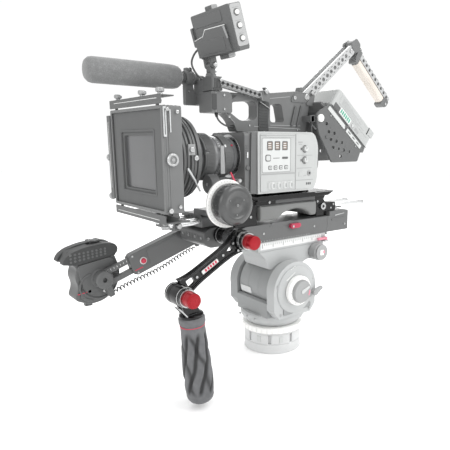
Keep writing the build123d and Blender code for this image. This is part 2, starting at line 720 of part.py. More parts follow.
def power_cable():
    """Cable from the camera's rear up to the handle's crossbar."""
    points = [(44, 179.4, -38), (44, 195, -36), (44, 207, -22), (44, 210, 0), (44, 206, 24),
              (44, 197, 46), (44, 184, 70), (44, 184, 98)]
    return cord("power_cable", 2.0, points)


def curly_cord():
    """Coiled lead of the remote grip, as the tube that its coils fill."""
    stations = ((252, -38), (208, -38), (160, -42), (112, -43), (68, -37), (24, -37))
    points = [(FAR_X, *far_point(s, t)) for s, t in stations]
    return cord("curly_cord", 5.0, points)


# ---------------------------------------------------------------- export
PARTS = {
    "flat_base": flat_base,
    "pan_lock_ring": pan_lock_ring,
    "head_housing": head_housing,
    "tilt_platform": tilt_platform,
    "tilt_drag_dial": tilt_drag_dial,
    "counterbalance_dial": counterbalance_dial,
    "tilt_lock_lever": tilt_lock_lever,
    "platform_lock_lever": platform_lock_lever,
    "tripod_adapter_plate": tripod_adapter_plate,
    "adapter_release_lever": adapter_release_lever,
    "base_plate": base_plate,
    "rear_rod_block": rear_rod_block,
    "support_rods": support_rods,
    "shoulder_pad": shoulder_pad,
    "handle_bracket": handle_bracket,
    "near_arm": near_arm,
    "near_arm_button": near_arm_button,
    "grip_link": grip_link,
    "rubber_grip": rubber_grip,
    "grip_button": grip_button,
    "far_arm": far_arm,
    "far_arm_slide": far_arm_slide,
    "extension_lock_button": extension_lock_button,
    "remote_grip": remote_grip,
    "remote_rocker": remote_rocker,
    "remote_record_button": remote_record_button,
    "main_shell": main_shell,
    "front_housing": front_housing,
    "control_panel": control_panel,
    "audio_dial_upper": lambda: audio_dial(31),
    "audio_dial_lower": lambda: audio_dial(4),
    "sensor_board": sensor_board,
    "cooling_fan": cooling_fan,
    "lens_barrel": lens_barrel,
    "lens_elements": lens_elements,
    "focus_ring": focus_ring,
    "iris_ring": iris_ring,
    "follow_focus_body": follow_focus_body,
    "focus_drive_gear": focus_drive_gear,
    "focus_wheel": focus_wheel,
    "matte_box_hood": matte_box_hood,
    "filter_stage": filter_stage,
    "top_flag": top_flag,
    "bottom_flag": bottom_flag,
    "side_flag": side_flag,
    "top_handle": top_handle,
    "viewfinder_rail": viewfinder_rail,
    "viewfinder_post": viewfinder_post,
    "viewfinder": viewfinder,
    "shotgun_microphone": shotgun_microphone,
    "mic_holder": mic_holder,
    "lower_cheese_arm": lower_cheese_arm,
    "upper_cheese_arm": upper_cheese_arm,
    "wooden_grip": wooden_grip,
    "battery_bracket": battery_bracket,
    "battery": battery,
    "viewfinder_cable": viewfinder_cable,
    "audio_cable": audio_cable,
    "power_cable": power_cable,
    "curly_cord": curly_cord,
}

os.makedirs("parts", exist_ok=True)
for part_name, make in PARTS.items():
    export_step(ROW_FRAME * make(), f"parts/{part_name}.step")
print(len(PARTS), "nodes")
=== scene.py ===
"""The looks of a shoulder-rigged cinema camera on a fluid head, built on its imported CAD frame.

Sizes are in millimetres from the camera's own datum: x = 0 is the centre plane with +x on the
operator's side, the lens points along -y, and z = 0 is at half the camera body's height. INTO_FRAME
takes finished meshes from there to the frame of the part, in metres.
"""
from math import atan2, cos, degrees, pi, radians, sin

import bmesh
import bpy
from mathutils import Matrix, Vector


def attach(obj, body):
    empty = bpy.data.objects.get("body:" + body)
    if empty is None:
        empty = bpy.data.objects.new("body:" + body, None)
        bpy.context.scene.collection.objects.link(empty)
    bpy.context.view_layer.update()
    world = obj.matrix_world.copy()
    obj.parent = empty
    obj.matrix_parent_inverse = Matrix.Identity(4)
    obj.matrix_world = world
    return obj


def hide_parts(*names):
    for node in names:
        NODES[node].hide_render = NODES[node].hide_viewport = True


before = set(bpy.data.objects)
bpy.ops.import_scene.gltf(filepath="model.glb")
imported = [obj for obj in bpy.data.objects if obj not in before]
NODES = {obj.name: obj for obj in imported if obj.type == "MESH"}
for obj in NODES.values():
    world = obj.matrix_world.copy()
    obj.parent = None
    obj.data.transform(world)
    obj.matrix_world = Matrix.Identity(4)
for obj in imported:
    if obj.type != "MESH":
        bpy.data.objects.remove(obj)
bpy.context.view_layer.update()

INTO_FRAME = Matrix.Translation((0.0, -0.093, 0.492)) @ Matrix.Scale(0.001, 4)


# ---------------------------------------------------------------- camera
def spot(x, y, z):
    """A point given from the datum, in the part's frame."""
    return INTO_FRAME @ Vector((x, y, z))


def look_from(place, heading, fall, lens, shift):
    """The camera, with its heading and downward tilt in degrees."""
    data = bpy.data.cameras.new("studio_camera")
    data.lens = lens
    data.sensor_width = 36.0
    data.shift_x, data.shift_y = shift
    camera = bpy.data.objects.new("studio_camera", data)
    camera.location = place
    camera.rotation_euler = (radians(90 - fall), 0, radians(heading))
    bpy.context.scene.collection.objects.link(camera)
    bpy.context.scene.camera = camera


look_from((0.9609, -0.8121, 0.5432), 50.7, 12.2, 39.04, (-0.0889, 0.0467))


# ---------------------------------------------------------------- cords
def curve_through(name, places, bevel, steps, bevel_steps):
    """One smooth round line through places in the part's frame."""
    curve = bpy.data.curves.new(name, "CURVE")
    curve.dimensions = "3D"
    curve.resolution_u = steps
    curve.bevel_depth = bevel / 1000
    curve.bevel_resolution = bevel_steps
    curve.use_fill_caps = True
    spline = curve.splines.new("NURBS")
    spline.points.add(len(places) - 1)
    for knot, place in zip(spline.points, places):
        knot.co = (*place, 1.0)
    spline.order_u = 3
    spline.use_endpoint_u = True
    item = bpy.data.objects.new(name, curve)
    bpy.context.scene.collection.objects.link(item)
    return item


def nurbs(name, points, bevel=0.0):
    """One smooth cord line through millimetre points from the datum."""
    return curve_through(name, [spot(*point) for point in points], bevel, 10, 5)


def line_of(points):
    """The smooth line of a route, as plain points in the part's frame."""
    guide = nurbs("guide", points)
    mesh = bpy.data.meshes.new_from_object(guide)
    line = [v.co.copy() for v in mesh.vertices]
    bpy.data.objects.remove(guide)
    bpy.data.meshes.remove(mesh)
    return line


def length_of(line):
    """The length of a line of points, in metres."""
    return sum((b - a).length for a, b in zip(line, line[1:]))


VIEWFINDER_ROUTE = [(-10.2, -101, 252), (-27, -101, 252), (-39, -108, 239), (-38, -116, 220),
                    (-30, -112, 202), (-24, -101, 187), (-10, -92, 178)]
AUDIO_ROUTE = [(8, -82, 112), (8, -80, 100), (9, -68, 89), (9, -52, 83), (10, -35.7, 82)]
POWER_ROUTE = [(44, 179.4, -38), (44, 195, -36), (44, 207, -22), (44, 210, 0), (44, 206, 24),
               (44, 197, 46), (44, 184, 70), (44, 184, 98)]
FAR_PIVOT = (-86.0, -168.0)
FAR_SLOPE = radians(18.5)


def far_place(x, distance, offset):
    """A point of the far arm: across, along the arm from its pivot, and above its middle line."""
    y = FAR_PIVOT[0] - distance * cos(FAR_SLOPE) - offset * sin(FAR_SLOPE)
    z = FAR_PIVOT[1] - distance * sin(FAR_SLOPE) + offset * cos(FAR_SLOPE)
    return (x, y, z)


CURLY_ROUTE = [far_place(-77, s, t) for s, t in
               ((252, -38), (208, -38), (160, -42), (112, -43), (68, -37), (24, -37))]


def free_cord(name, route, radius, body, node):
    """A plain round cord, with moulded strain reliefs where it ends."""
    line = line_of(route)
    item = nurbs(name, route, radius)
    item.data.materials.append(MATERIALS["pvc_jacket"])
    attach(item, body)
    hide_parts(node)
    reliefs = []
    for tag, here, there in (("start", line[0], line[3]), ("end", line[-1], line[-4])):
        reliefs.append(strain_relief(f"{name}_relief_{tag}", here, there, radius, body))
    return item, reliefs


def strain_relief(name, here, there, radius, body):
    """A tapered rubber sleeve with three grooves, from its root towards the free cord."""
    along = (there - here).normalized()
    turn = along.to_track_quat("Z", "X").to_matrix().to_4x4()
    rings = [(0, 1.0), (0, 2.1), (2.2, 2.1), (2.4, 1.75), (3.2, 1.72), (3.4, 1.95), (5.2, 1.8),
             (5.4, 1.5), (6.2, 1.48), (6.4, 1.7), (8.4, 1.5), (9.2, 1.06)]
    sleeve = lathe("Z", 0, 0, [(radius * wide, rise) for rise, wide in rings], 24, closed=True)
    place = Matrix.Translation(here) @ turn @ Matrix.Scale(0.001, 4)
    return piece(name, body, [("soft_touch_black", [turned(sleeve, INTO_FRAME.inverted() @ place)])])
# ---------------------------------------------------------------- mesh tools
def box(x0, x1, y0, y1, z0, z1):
    """A box between two corners."""
    shape = bmesh.new()
    bmesh.ops.create_cube(shape, size=1)
    middle = Matrix.Translation(((x0 + x1) / 2, (y0 + y1) / 2, (z0 + z1) / 2))
    bmesh.ops.transform(shape, matrix=middle @ Matrix.Diagonal((x1 - x0, y1 - y0, z1 - z0, 1)),
                        verts=shape.verts)
    return shape


def about(axis, u, v, radius, angle, along):
    """A point on a circle about an axis through (u, v)."""
    a, b = u + radius * cos(angle), v + radius * sin(angle)
    return {"X": (along, a, b), "Y": (a, along, b), "Z": (a, b, along)}[axis]


def lathe(axis, u, v, profile, steps=48, closed=False):
    """A turned shape: (radius, place along the axis) points, closed into a ring or capped."""
    shape = bmesh.new()
    rings = []
    for radius, along in profile:
        if radius < 1e-6:
            rings.append([shape.verts.new(about(axis, u, v, 0, 0, along))])
        else:
            rings.append([shape.verts.new(about(axis, u, v, radius, 2 * pi * k / steps, along))
                          for k in range(steps)])
    pairs = list(zip(rings, rings[1:]))
    if closed:
        pairs.append((rings[-1], rings[0]))
    for low, high in pairs:
        for k in range(steps):
            m = (k + 1) % steps
            corners = [low[k % len(low)], low[m % len(low)], high[m % len(high)], high[k % len(high)]]
            face = list(dict.fromkeys(corners))
            if len(face) > 2:
                shape.faces.new(face)
    bmesh.ops.recalc_face_normals(shape, faces=shape.faces)
    return shape


def disc(axis, u, v, radius, a, b, steps=48):
    """A solid round from a to b along an axis."""
    return lathe(axis, u, v, [(0, a), (radius, a), (radius, b), (0, b)], steps)


def ring(axis, u, v, inner, outer, a, b, steps=48):
    """A flat-ended ring."""
    return lathe(axis, u, v, [(inner, a), (outer, a), (outer, b), (inner, b)], steps, closed=True)


def slab(axis, outline, low, high, holes=()):
    """A plate across an axis, from an outline in the other two directions, with holes."""
    shape = bmesh.new()
    place = {"X": lambda p: (low, p[0], p[1]), "Y": lambda p: (p[0], low, p[1]),
             "Z": lambda p: (p[0], p[1], low)}[axis]
    edges = []
    for loop in (outline, *holes):
        corners = [shape.verts.new(place(p)) for p in loop]
        for k, corner in enumerate(corners):
            edges.append(shape.edges.new((corner, corners[(k + 1) % len(corners)])))
    bmesh.ops.triangle_fill(shape, use_beauty=True, edges=edges)
    bmesh.ops.dissolve_limit(shape, angle_limit=0.01, verts=shape.verts, edges=shape.edges)
    raised = bmesh.ops.extrude_face_region(shape, geom=shape.faces[:])
    shift = Vector({"X": (high - low, 0, 0), "Y": (0, high - low, 0), "Z": (0, 0, high - low)}[axis])
    corners = [item for item in raised["geom"] if isinstance(item, bmesh.types.BMVert)]
    bmesh.ops.translate(shape, vec=shift, verts=corners)
    bmesh.ops.recalc_face_normals(shape, faces=shape.faces)
    return shape


def arc(u, v, radius, start, end, steps):
    """Points of an arc, with its angles in degrees."""
    return [(u + radius * cos(radians(start + (end - start) * k / steps)),
             v + radius * sin(radians(start + (end - start) * k / steps))) for k in range(steps + 1)]


def round_box(u0, u1, v0, v1, radius, steps=4):
    """The outline of a rectangle with round corners."""
    return (arc(u1 - radius, v1 - radius, radius, 0, 90, steps)
            + arc(u0 + radius, v1 - radius, radius, 90, 180, steps)
            + arc(u0 + radius, v0 + radius, radius, 180, 270, steps)
            + arc(u1 - radius, v0 + radius, radius, 270, 360, steps))


def circle(u, v, radius, steps=20):
    """The outline of a round hole."""
    return arc(u, v, radius, 0, 360 - 360 / steps, steps - 1)


def bar(start, end, wide, narrow, steps=14):
    """The outline of a bar with round ends of two widths."""
    run = Vector(end) - Vector(start)
    heading = degrees(atan2(run.y, run.x))
    lean = degrees(atan2(wide - narrow, run.length))
    return (arc(start[0], start[1], wide, heading + 90 - lean, heading + 270 + lean, steps)
            + arc(end[0], end[1], narrow, heading - 90 + lean, heading + 90 - lean, steps))


def smooth_outline(corners, radius, steps=4):
    """An outline whose corners are rounded, by a radius for all or one given as a third number."""
    points = []
    for k, corner in enumerate(corners):
        here = Vector(corner[:2])
        before = Vector(corners[k - 1][:2]) - here
        after = Vector(corners[(k + 1) % len(corners)][:2]) - here
        reach = corner[2] if len(corner) > 2 else radius
        reach = min(reach, before.length * 0.45, after.length * 0.45)
        start, end = here + before.normalized() * reach, here + after.normalized() * reach
        for step in range(steps + 1):
            t = step / steps
            points.append(tuple(start * (1 - t) ** 2 + here * 2 * t * (1 - t) + end * t * t))
    return points


def along(start, end, distance):
    """The point at a distance from start towards end."""
    return tuple(Vector(start) + (Vector(end) - Vector(start)).normalized() * distance)


def turned(shape, matrix):
    """The shape, moved by a matrix."""
    bmesh.ops.transform(shape, matrix=matrix, verts=shape.verts)
    return shape


def leaned(place, axis, angle):
    """The move that takes a shape built at the origin to a place, turned by degrees."""
    return Matrix.Translation(place) @ Matrix.Rotation(radians(angle), 4, axis)


def piece(name, body, finishes, bevel=0.0, stands_for=(), steps=2, angle=40, levels=0):
    """One visible piece from (material, shapes) pairs, riding on a body of the frame."""
    mesh = bpy.data.meshes.new(name)
    whole = bmesh.new()
    for number, (material, shapes) in enumerate(finishes):
        mesh.materials.append(MATERIALS.get(material))
        for shape in shapes:
            for face in shape.faces:
                face.material_index = number
                face.smooth = True
            part = bpy.data.meshes.new("part")
            shape.to_mesh(part)
            shape.free()
            whole.from_mesh(part)
            bpy.data.meshes.remove(part)
    bmesh.ops.transform(whole, matrix=INTO_FRAME, verts=whole.verts)
    whole.to_mesh(mesh)
    whole.free()
    item = bpy.data.objects.new(name, mesh)
    bpy.context.scene.collection.objects.link(item)
    if bevel:
        edge = item.modifiers.new("worn_edges", "BEVEL")
        edge.width = bevel / 1000
        edge.segments = steps
        edge.limit_method = "ANGLE"
        edge.angle_limit = radians(angle)
        item.modifiers.new("even_light", "WEIGHTED_NORMAL")
    else:
        mesh.set_sharp_from_angle(angle=radians(angle))
    if levels:
        item.modifiers.new("soft_form", "SUBSURF").levels = levels
        item.modifiers["soft_form"].render_levels = levels
    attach(item, body)
    if stands_for:
        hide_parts(*stands_for)
    return item


# ---------------------------------------------------------------- geometry nodes
def add(tree, kind, settings=None, **links):
    """Adds a node: settings are its properties or input values, links are other nodes' outputs."""
    node = tree.nodes.new(kind)
    for key, value in (settings or {}).items():
        if isinstance(key, str) and hasattr(node, key):
            setattr(node, key, value)
        else:
            node.inputs[key].default_value = value
    for key, output in links.items():
        socket = node.inputs[int(key[1:])] if key[0] == "i" and key[1:].isdigit() else (
            node.inputs[key.replace("_", " ")])
        tree.links.new(output, socket)
    return node


def new_tree(name, inputs):
    """A geometry tree with named inputs: (name, socket kind, first value)."""
    tree = bpy.data.node_groups.new(name, "GeometryNodeTree")
    for label, kind, value in inputs:
        socket = tree.interface.new_socket(label, in_out="INPUT", socket_type=kind)
        if value is not None:
            socket.default_value = value
    tree.interface.new_socket("Geometry", in_out="OUTPUT", socket_type="NodeSocketGeometry")
    return tree, tree.nodes.new("NodeGroupInput").outputs


def finish_tree(tree, given, geometry):
    """Ends a tree: the instances become real geometry with the finish on them."""
    real = add(tree, "GeometryNodeRealizeInstances", Geometry=geometry)
    done = add(tree, "GeometryNodeSetMaterial", Geometry=real.outputs[0], Material=given["Finish"])
    end = tree.nodes.new("NodeGroupOutput")
    tree.links.new(done.outputs[0], end.inputs[0])


FLOAT, WHOLE, MOVE = "NodeSocketFloat", "NodeSocketInt", "NodeSocketVector"
GIVEN, PAINT = "NodeSocketGeometry", "NodeSocketMaterial"


def row_tree():
    """Rounded bars in a straight row: keys, ribs, grooves, scale ticks and vents."""
    tree, given = new_tree("row_of_bars", [
        ("Geometry", GIVEN, None), ("Count", WHOLE, 5), ("Start", MOVE, (0, 0, 0)),
        ("Step", MOVE, (0.01, 0, 0)), ("Size", MOVE, (0.004, 0.004, 0.004)),
        ("Turn", MOVE, (0, 0, 0)), ("Finish", PAINT, None)])
    line = add(tree, "GeometryNodeMeshLine", {"mode": "OFFSET"}, Count=given["Count"],
               Start_Location=given["Start"], Offset=given["Step"])
    key = add(tree, "GeometryNodeMeshCube", Size=given["Size"])
    rows = add(tree, "GeometryNodeInstanceOnPoints", Points=line.outputs[0],
               Instance=key.outputs[0], Rotation=given["Turn"])
    finish_tree(tree, given, rows.outputs[0])
    return tree


def wheel_tree():
    """Teeth, notches or flutes on a circle, each a bar that faces outwards."""
    tree, given = new_tree("teeth_round_a_wheel", [
        ("Geometry", GIVEN, None), ("Count", WHOLE, 24), ("Radius", FLOAT, 0.02),
        ("Size", MOVE, (0.002, 0.002, 0.01)), ("Finish", PAINT, None)])
    hoop = add(tree, "GeometryNodeMeshCircle", Vertices=given["Count"], Radius=given["Radius"])
    place = add(tree, "GeometryNodeInputPosition")
    face = add(tree, "FunctionNodeAlignRotationToVector", {"axis": "X"}, Vector=place.outputs[0])
    tooth = add(tree, "GeometryNodeMeshCube", Size=given["Size"])
    teeth = add(tree, "GeometryNodeInstanceOnPoints", Points=hoop.outputs[0],
                Instance=tooth.outputs[0], Rotation=face.outputs[0])
    finish_tree(tree, given, teeth.outputs[0])
    return tree


def screw_tree():
    """A cap screw with a socket on every point, its head standing up along the piece's +z."""
    tree, given = new_tree("cap_screws", [
        ("Geometry", GIVEN, None), ("Radius", FLOAT, 0.003), ("Height", FLOAT, 0.002),
        ("Finish", PAINT, None)])
    head = add(tree, "GeometryNodeMeshCylinder", {"Vertices": 20}, Radius=given["Radius"],
               Depth=given["Height"])
    top = add(tree, "ShaderNodeVectorMath", {"operation": "SCALE", 0: (0, 0, 0.5)},
              Scale=given["Height"])
    narrow = add(tree, "ShaderNodeMath", {"operation": "MULTIPLY", 1: 0.55}, i0=given["Radius"])
    socket = add(tree, "GeometryNodeMeshCylinder", {"Vertices": 6}, Radius=narrow.outputs[0],
                 Depth=given["Height"])
    raised = add(tree, "GeometryNodeTransform", Geometry=socket.outputs["Mesh"],
                 Translation=top.outputs[0])
    cut = add(tree, "GeometryNodeMeshBoolean", {"operation": "DIFFERENCE"}, i0=head.outputs["Mesh"])
    tree.links.new(raised.outputs[0], cut.inputs[1])
    heads = add(tree, "GeometryNodeInstanceOnPoints", Points=given["Geometry"],
                Instance=cut.outputs[0])
    finish_tree(tree, given, heads.outputs[0])
    return tree


TREES = {"row": row_tree(), "wheel": wheel_tree(), "screws": screw_tree()}


def grown(kind, values, place=Matrix.Identity(4), points=((0, 0, 0),)):
    """The shape that a tree makes in millimetres on some points, moved into place."""
    seed = bpy.data.meshes.new("seed")
    seed.from_pydata([tuple(p) for p in points], [], [])
    item = bpy.data.objects.new("seed", seed)
    bpy.context.scene.collection.objects.link(item)
    run = item.modifiers.new("tree", "NODES")
    run.node_group = TREES[kind]
    names = {s.name: s.identifier for s in TREES[kind].interface.items_tree if s.in_out == "INPUT"}
    for label, value in values.items():
        run[names[label]] = value
    seen = item.evaluated_get(bpy.context.evaluated_depsgraph_get())
    mesh = bpy.data.meshes.new_from_object(seen)
    shape = bmesh.new()
    shape.from_mesh(mesh)
    bpy.data.objects.remove(item)
    bpy.data.meshes.remove(mesh)
    bpy.data.meshes.remove(seed)
    return turned(shape, place)


def row(count, start, step, size, turn=(0, 0, 0)):
    """Bars in a row."""
    return grown("row", {"Count": count, "Start": start, "Step": step, "Size": size,
                         "Turn": tuple(radians(a) for a in turn)})


def teeth(axis, u, v, along_axis, count, radius, size):
    """Teeth round an axis: size is outwards, round and along it."""
    face = {"X": Matrix.Rotation(pi / 2, 4, "Y"), "Y": Matrix.Rotation(pi / 2, 4, "X"),
            "Z": Matrix.Identity(4)}[axis]
    middle = {"X": (along_axis, u, v), "Y": (u, along_axis, v), "Z": (u, v, along_axis)}[axis]
    return grown("wheel", {"Count": count, "Radius": radius, "Size": size},
                 Matrix.Translation(middle) @ face)


def screws(facing, radius, height, points):
    """Cap screws that face one way, standing on the given points."""
    turn = Vector(facing).to_track_quat("Z", "Y").to_matrix().to_4x4()
    back = turn.inverted()
    spots = [back @ (Vector(p) + Vector(facing).normalized() * height * 0.5) for p in points]
    return grown("screws", {"Radius": radius, "Height": height}, turn, spots)


# ---------------------------------------------------------------- materials
MATERIALS = {None: None}


def paint(code):
    """A linear colour from an sRGB hex code."""
    parts = [int(code[k:k + 2], 16) / 255 for k in (1, 3, 5)]
    return tuple(p / 12.92 if p <= 0.04045 else ((p + 0.055) / 1.055) ** 2.4 for p in parts) + (1.0,)


def shade(code, share):
    """The same colour, lighter or darker by a share."""
    return tuple(min(1.0, p * share) for p in paint(code)[:3]) + (1.0,)


def blank(name):
    """A new material with its tree, its shader and the place on the object."""
    material = bpy.data.materials.new(name)
    material.use_nodes = True
    tree = material.node_tree
    shader = tree.nodes["Principled BSDF"]
    MATERIALS[name] = material
    return tree, shader, add(tree, "ShaderNodeTexCoord").outputs["Object"]


def dress(tree, shader, colour, bump=None, **values):
    """Feeds the shader its colour and bump, and sets its other inputs."""
    tree.links.new(colour, shader.inputs["Base Color"])
    if bump:
        tree.links.new(bump.outputs[0], shader.inputs["Normal"])
    for label, value in values.items():
        shader.inputs[label.replace("_", " ")].default_value = value


def per_mm(size):
    """The texture scale that makes a feature this many millimetres across."""
    return 1000.0 / size


def surface(name, colour, rough, grain, depth, tint=0.10, patch=35.0, metallic=0.0, coat=0.0,
            edge_wear_and_highlight=None, edge=0.7, specular=0.5):
    """A hard coated surface: fine grain, faint colour drift, uneven gloss and, if an edge colour is given,
    pale edges that are partly rubbed wear and partly painted highlight.
    """
    tree, shader, place = blank(name)
    drift = add(tree, "ShaderNodeTexNoise", {"Scale": per_mm(patch), "Detail": 4.0}, Vector=place)
    fine = add(tree, "ShaderNodeTexNoise", {"Scale": per_mm(grain), "Detail": 3.0}, Vector=place)
    tone = add(tree, "ShaderNodeMix", {"data_type": "RGBA", 6: shade(colour, 1 - tint),
                                       7: shade(colour, 1 + tint)}, i0=drift.outputs["Fac"])
    colour_now = tone.outputs[2]
    # Pale edges from a bevel mask: partly rubbed wear and partly painted highlight along the edges.
    if edge_wear_and_highlight:
        soft = add(tree, "ShaderNodeBevel", {"samples": 4, "Radius": edge / 1000})
        flat = add(tree, "ShaderNodeNewGeometry")
        same = add(tree, "ShaderNodeVectorMath", {"operation": "DOT_PRODUCT"}, i0=soft.outputs[0],
                   i1=flat.outputs["Normal"])
        wear_and_highlight_mask = add(tree, "ShaderNodeMapRange", {1: 0.985, 2: 0.86, 3: 0.0, 4: 1.0}, i0=same.outputs[1])
        patchy = add(tree, "ShaderNodeMath", {"operation": "MULTIPLY"}, i0=wear_and_highlight_mask.outputs[0],
                     i1=drift.outputs["Fac"])
        wear_and_highlight_tone = add(tree, "ShaderNodeMix", {"data_type": "RGBA", 7: paint(edge_wear_and_highlight)},
                   i0=patchy.outputs[0], i6=colour_now)
        colour_now = wear_and_highlight_tone.outputs[2]
    gloss = add(tree, "ShaderNodeMapRange", {1: 0.3, 2: 0.7, 3: rough * 0.85, 4: min(1.0, rough * 1.15)},
                i0=drift.outputs["Fac"])
    bump = add(tree, "ShaderNodeBump", {"Strength": 0.6, "Distance": depth / 1000},
               Height=fine.outputs["Fac"])
    tree.links.new(gloss.outputs[0], shader.inputs["Roughness"])
    dress(tree, shader, colour_now, bump, Metallic=metallic, Coat_Weight=coat, Coat_Roughness=0.12,
          Specular_IOR_Level=specular)


def brushed(name, colour, rough, lines, stretch, metallic=1.0):
    """Metal with fine parallel lines left by brushing or turning, across the stretched direction."""
    tree, shader, place = blank(name)
    spread = add(tree, "ShaderNodeMapping", {"Scale": stretch}, Vector=place)
    streak = add(tree, "ShaderNodeTexNoise", {"Scale": per_mm(lines), "Detail": 5.0},
                 Vector=spread.outputs[0])
    tone = add(tree, "ShaderNodeMix", {"data_type": "RGBA", 6: shade(colour, 0.9), 7: shade(colour, 1.08)},
               i0=streak.outputs["Fac"])
    gloss = add(tree, "ShaderNodeMapRange", {1: 0.3, 2: 0.7, 3: rough * 0.8, 4: rough * 1.2},
                i0=streak.outputs["Fac"])
    bump = add(tree, "ShaderNodeBump", {"Strength": 0.35, "Distance": 0.00005},
               Height=streak.outputs["Fac"])
    tree.links.new(gloss.outputs[0], shader.inputs["Roughness"])
    dress(tree, shader, tone.outputs[2], bump, Metallic=metallic)


def open_cell_foam():
    """Polyurethane foam of a windshield: open cells about 1 mm across, drawn 2 mm so that they show."""
    tree, shader, place = blank("open_cell_foam")
    cells = add(tree, "ShaderNodeTexVoronoi", {"Scale": per_mm(2.0)}, Vector=place)
    nap = add(tree, "ShaderNodeTexNoise", {"Scale": per_mm(9.0), "Detail": 6.0}, Vector=place)
    both = add(tree, "ShaderNodeMath", {"operation": "MULTIPLY"}, i0=cells.outputs["Distance"],
               i1=nap.outputs["Fac"])
    tone = add(tree, "ShaderNodeMix", {"data_type": "RGBA", 6: paint("#6c6d6d"), 7: paint("#989999")},
               i0=both.outputs[0])
    bump = add(tree, "ShaderNodeBump", {"Strength": 0.8, "Distance": 0.0006}, Height=both.outputs[0])
    dress(tree, shader, tone.outputs[2], bump, Roughness=0.95, Sheen_Weight=0.25)


def fluted_rubber():
    """Moulded silicone rubber: a fine matt skin whose tone varies at random, with painted shade darkening its
    grooves.
    """
    tree, shader, place = blank("fluted_rubber")
    grooves = add(tree, "ShaderNodeAttribute", {"attribute_name": "groove"})
    skin = add(tree, "ShaderNodeTexNoise", {"Scale": per_mm(1.0), "Detail": 4.0}, Vector=place)
    wear = add(tree, "ShaderNodeTexNoise", {"Scale": per_mm(14.0), "Detail": 3.0}, Vector=place)
    ridge = add(tree, "ShaderNodeMix", {"data_type": "RGBA", 6: paint("#4c4d4f"), 7: paint("#707173")},
                i0=wear.outputs["Fac"])
    # Painted shade: the groove attribute darkens the flutes towards near black.
    tone = add(tree, "ShaderNodeMix", {"data_type": "RGBA", 7: paint("#1f2021")},
               i0=grooves.outputs["Fac"], i6=ridge.outputs[2])
    bump = add(tree, "ShaderNodeBump", {"Strength": 0.25, "Distance": 0.0002}, Height=skin.outputs["Fac"])
    dress(tree, shader, tone.outputs[2], bump, Roughness=0.55)


def oiled_beech():
    """Beech: fine grain lines 1 to 2 mm apart along the grip, short dark pores and a satin oil."""
    tree, shader, place = blank("oiled_beech")
    lie = add(tree, "ShaderNodeMapping", {"Rotation": (radians(40.1), 0, 0)}, Vector=place)
    thin = add(tree, "ShaderNodeMapping", {"Scale": (1.0, 0.06, 1.0)}, Vector=lie.outputs[0])
    lines = add(tree, "ShaderNodeTexNoise", {"Scale": per_mm(3.0), "Detail": 7.0, "Distortion": 0.4},
                Vector=thin.outputs[0])
    pores = add(tree, "ShaderNodeTexNoise", {"Scale": per_mm(0.8), "Detail": 2.0},
                Vector=thin.outputs[0])
    wood = add(tree, "ShaderNodeValToRGB", Fac=lines.outputs["Fac"])
    ends = wood.color_ramp.elements
    ends[0].position, ends[0].color = 0.32, paint("#c6beb5")
    ends[1].position, ends[1].color = 0.62, paint("#d8d1c9")
    flecks = add(tree, "ShaderNodeMapRange", {1: 0.62, 2: 0.72, 3: 0.0, 4: 0.5},
                 i0=pores.outputs["Fac"])
    tone = add(tree, "ShaderNodeMix", {"data_type": "RGBA", 7: paint("#aba298")},
               i0=flecks.outputs[0], i6=wood.outputs["Color"])
    bump = add(tree, "ShaderNodeBump", {"Strength": 0.3, "Distance": 0.0002},
               Height=lines.outputs["Fac"])
    dress(tree, shader, tone.outputs[2], bump, Roughness=0.48)


def coated_glass():
    """Lens glass with a blue-green coating: dark and very smooth, with a painted reflection that turns it
    paler where it is seen at a glancing angle.
    """
    tree, shader, _ = blank("coated_glass")
    # Painted reflection: the colour grows paler towards glancing view angles.
    rim = add(tree, "ShaderNodeLayerWeight", {"Blend": 0.35})
    tone = add(tree, "ShaderNodeMix", {"data_type": "RGBA", 6: paint("#4c5156"), 7: paint("#7d8790")},
               i0=rim.outputs["Facing"])
    dress(tree, shader, tone.outputs[2], Roughness=0.04, Coat_Weight=1.0)


def lit_window(name, colour, strength):
    """A small light behind a window."""
    tree, shader, place = blank(name)
    glow = add(tree, "ShaderNodeTexNoise", {"Scale": per_mm(4.0)}, Vector=place)
    tone = add(tree, "ShaderNodeMix", {"data_type": "RGBA", 6: shade(colour, 0.8), 7: paint(colour)},
               i0=glow.outputs["Fac"])
    tree.links.new(tone.outputs[2], shader.inputs["Emission Color"])
    dress(tree, shader, tone.outputs[2], Emission_Strength=strength, Roughness=0.3)


# Powder coat on the head's castings: satin, with a fine orange-peel grain.
surface("powder_coat_pale", "#b2b4b4", 0.52, 1.2, 0.10, tint=0.05)
# The darker copy is the same coat with painted shade: the far cheek, the cradle under the deck, the drum
# between the cheeks and the pads by the near boss.
surface("powder_coat_painted_shade", "#8f9191", 0.50, 1.2, 0.10, tint=0.07)
surface("powder_coat_low", "#cccdcd", 0.55, 1.2, 0.10, tint=0.04)
# White nylon mouldings: the pan ring and the drag dial's scale.
surface("white_nylon", "#f4f4f2", 0.45, 0.8, 0.04, tint=0.02)
# ABS mouldings with a spark-eroded texture of about 0.5 mm, drawn 0.8 mm.
surface("grey_abs", "#9b9c9c", 0.50, 0.8, 0.06, tint=0.05)
surface("pale_abs", "#c3c5c4", 0.48, 0.8, 0.05, tint=0.05)
surface("dark_abs", "#5b5c5c", 0.50, 0.8, 0.08, tint=0.10)
surface("battery_abs", "#adafae", 0.42, 0.9, 0.06, tint=0.05)
# Hard anodising in gloss black: deep and smooth, its bright edges partly rubbed metal and partly painted
# highlight.
surface("black_anodised", "#09090a", 0.24, 0.6, 0.015, tint=0.25, coat=0.18, edge_wear_and_highlight="#a9abad", edge=0.9,
        specular=0.3)
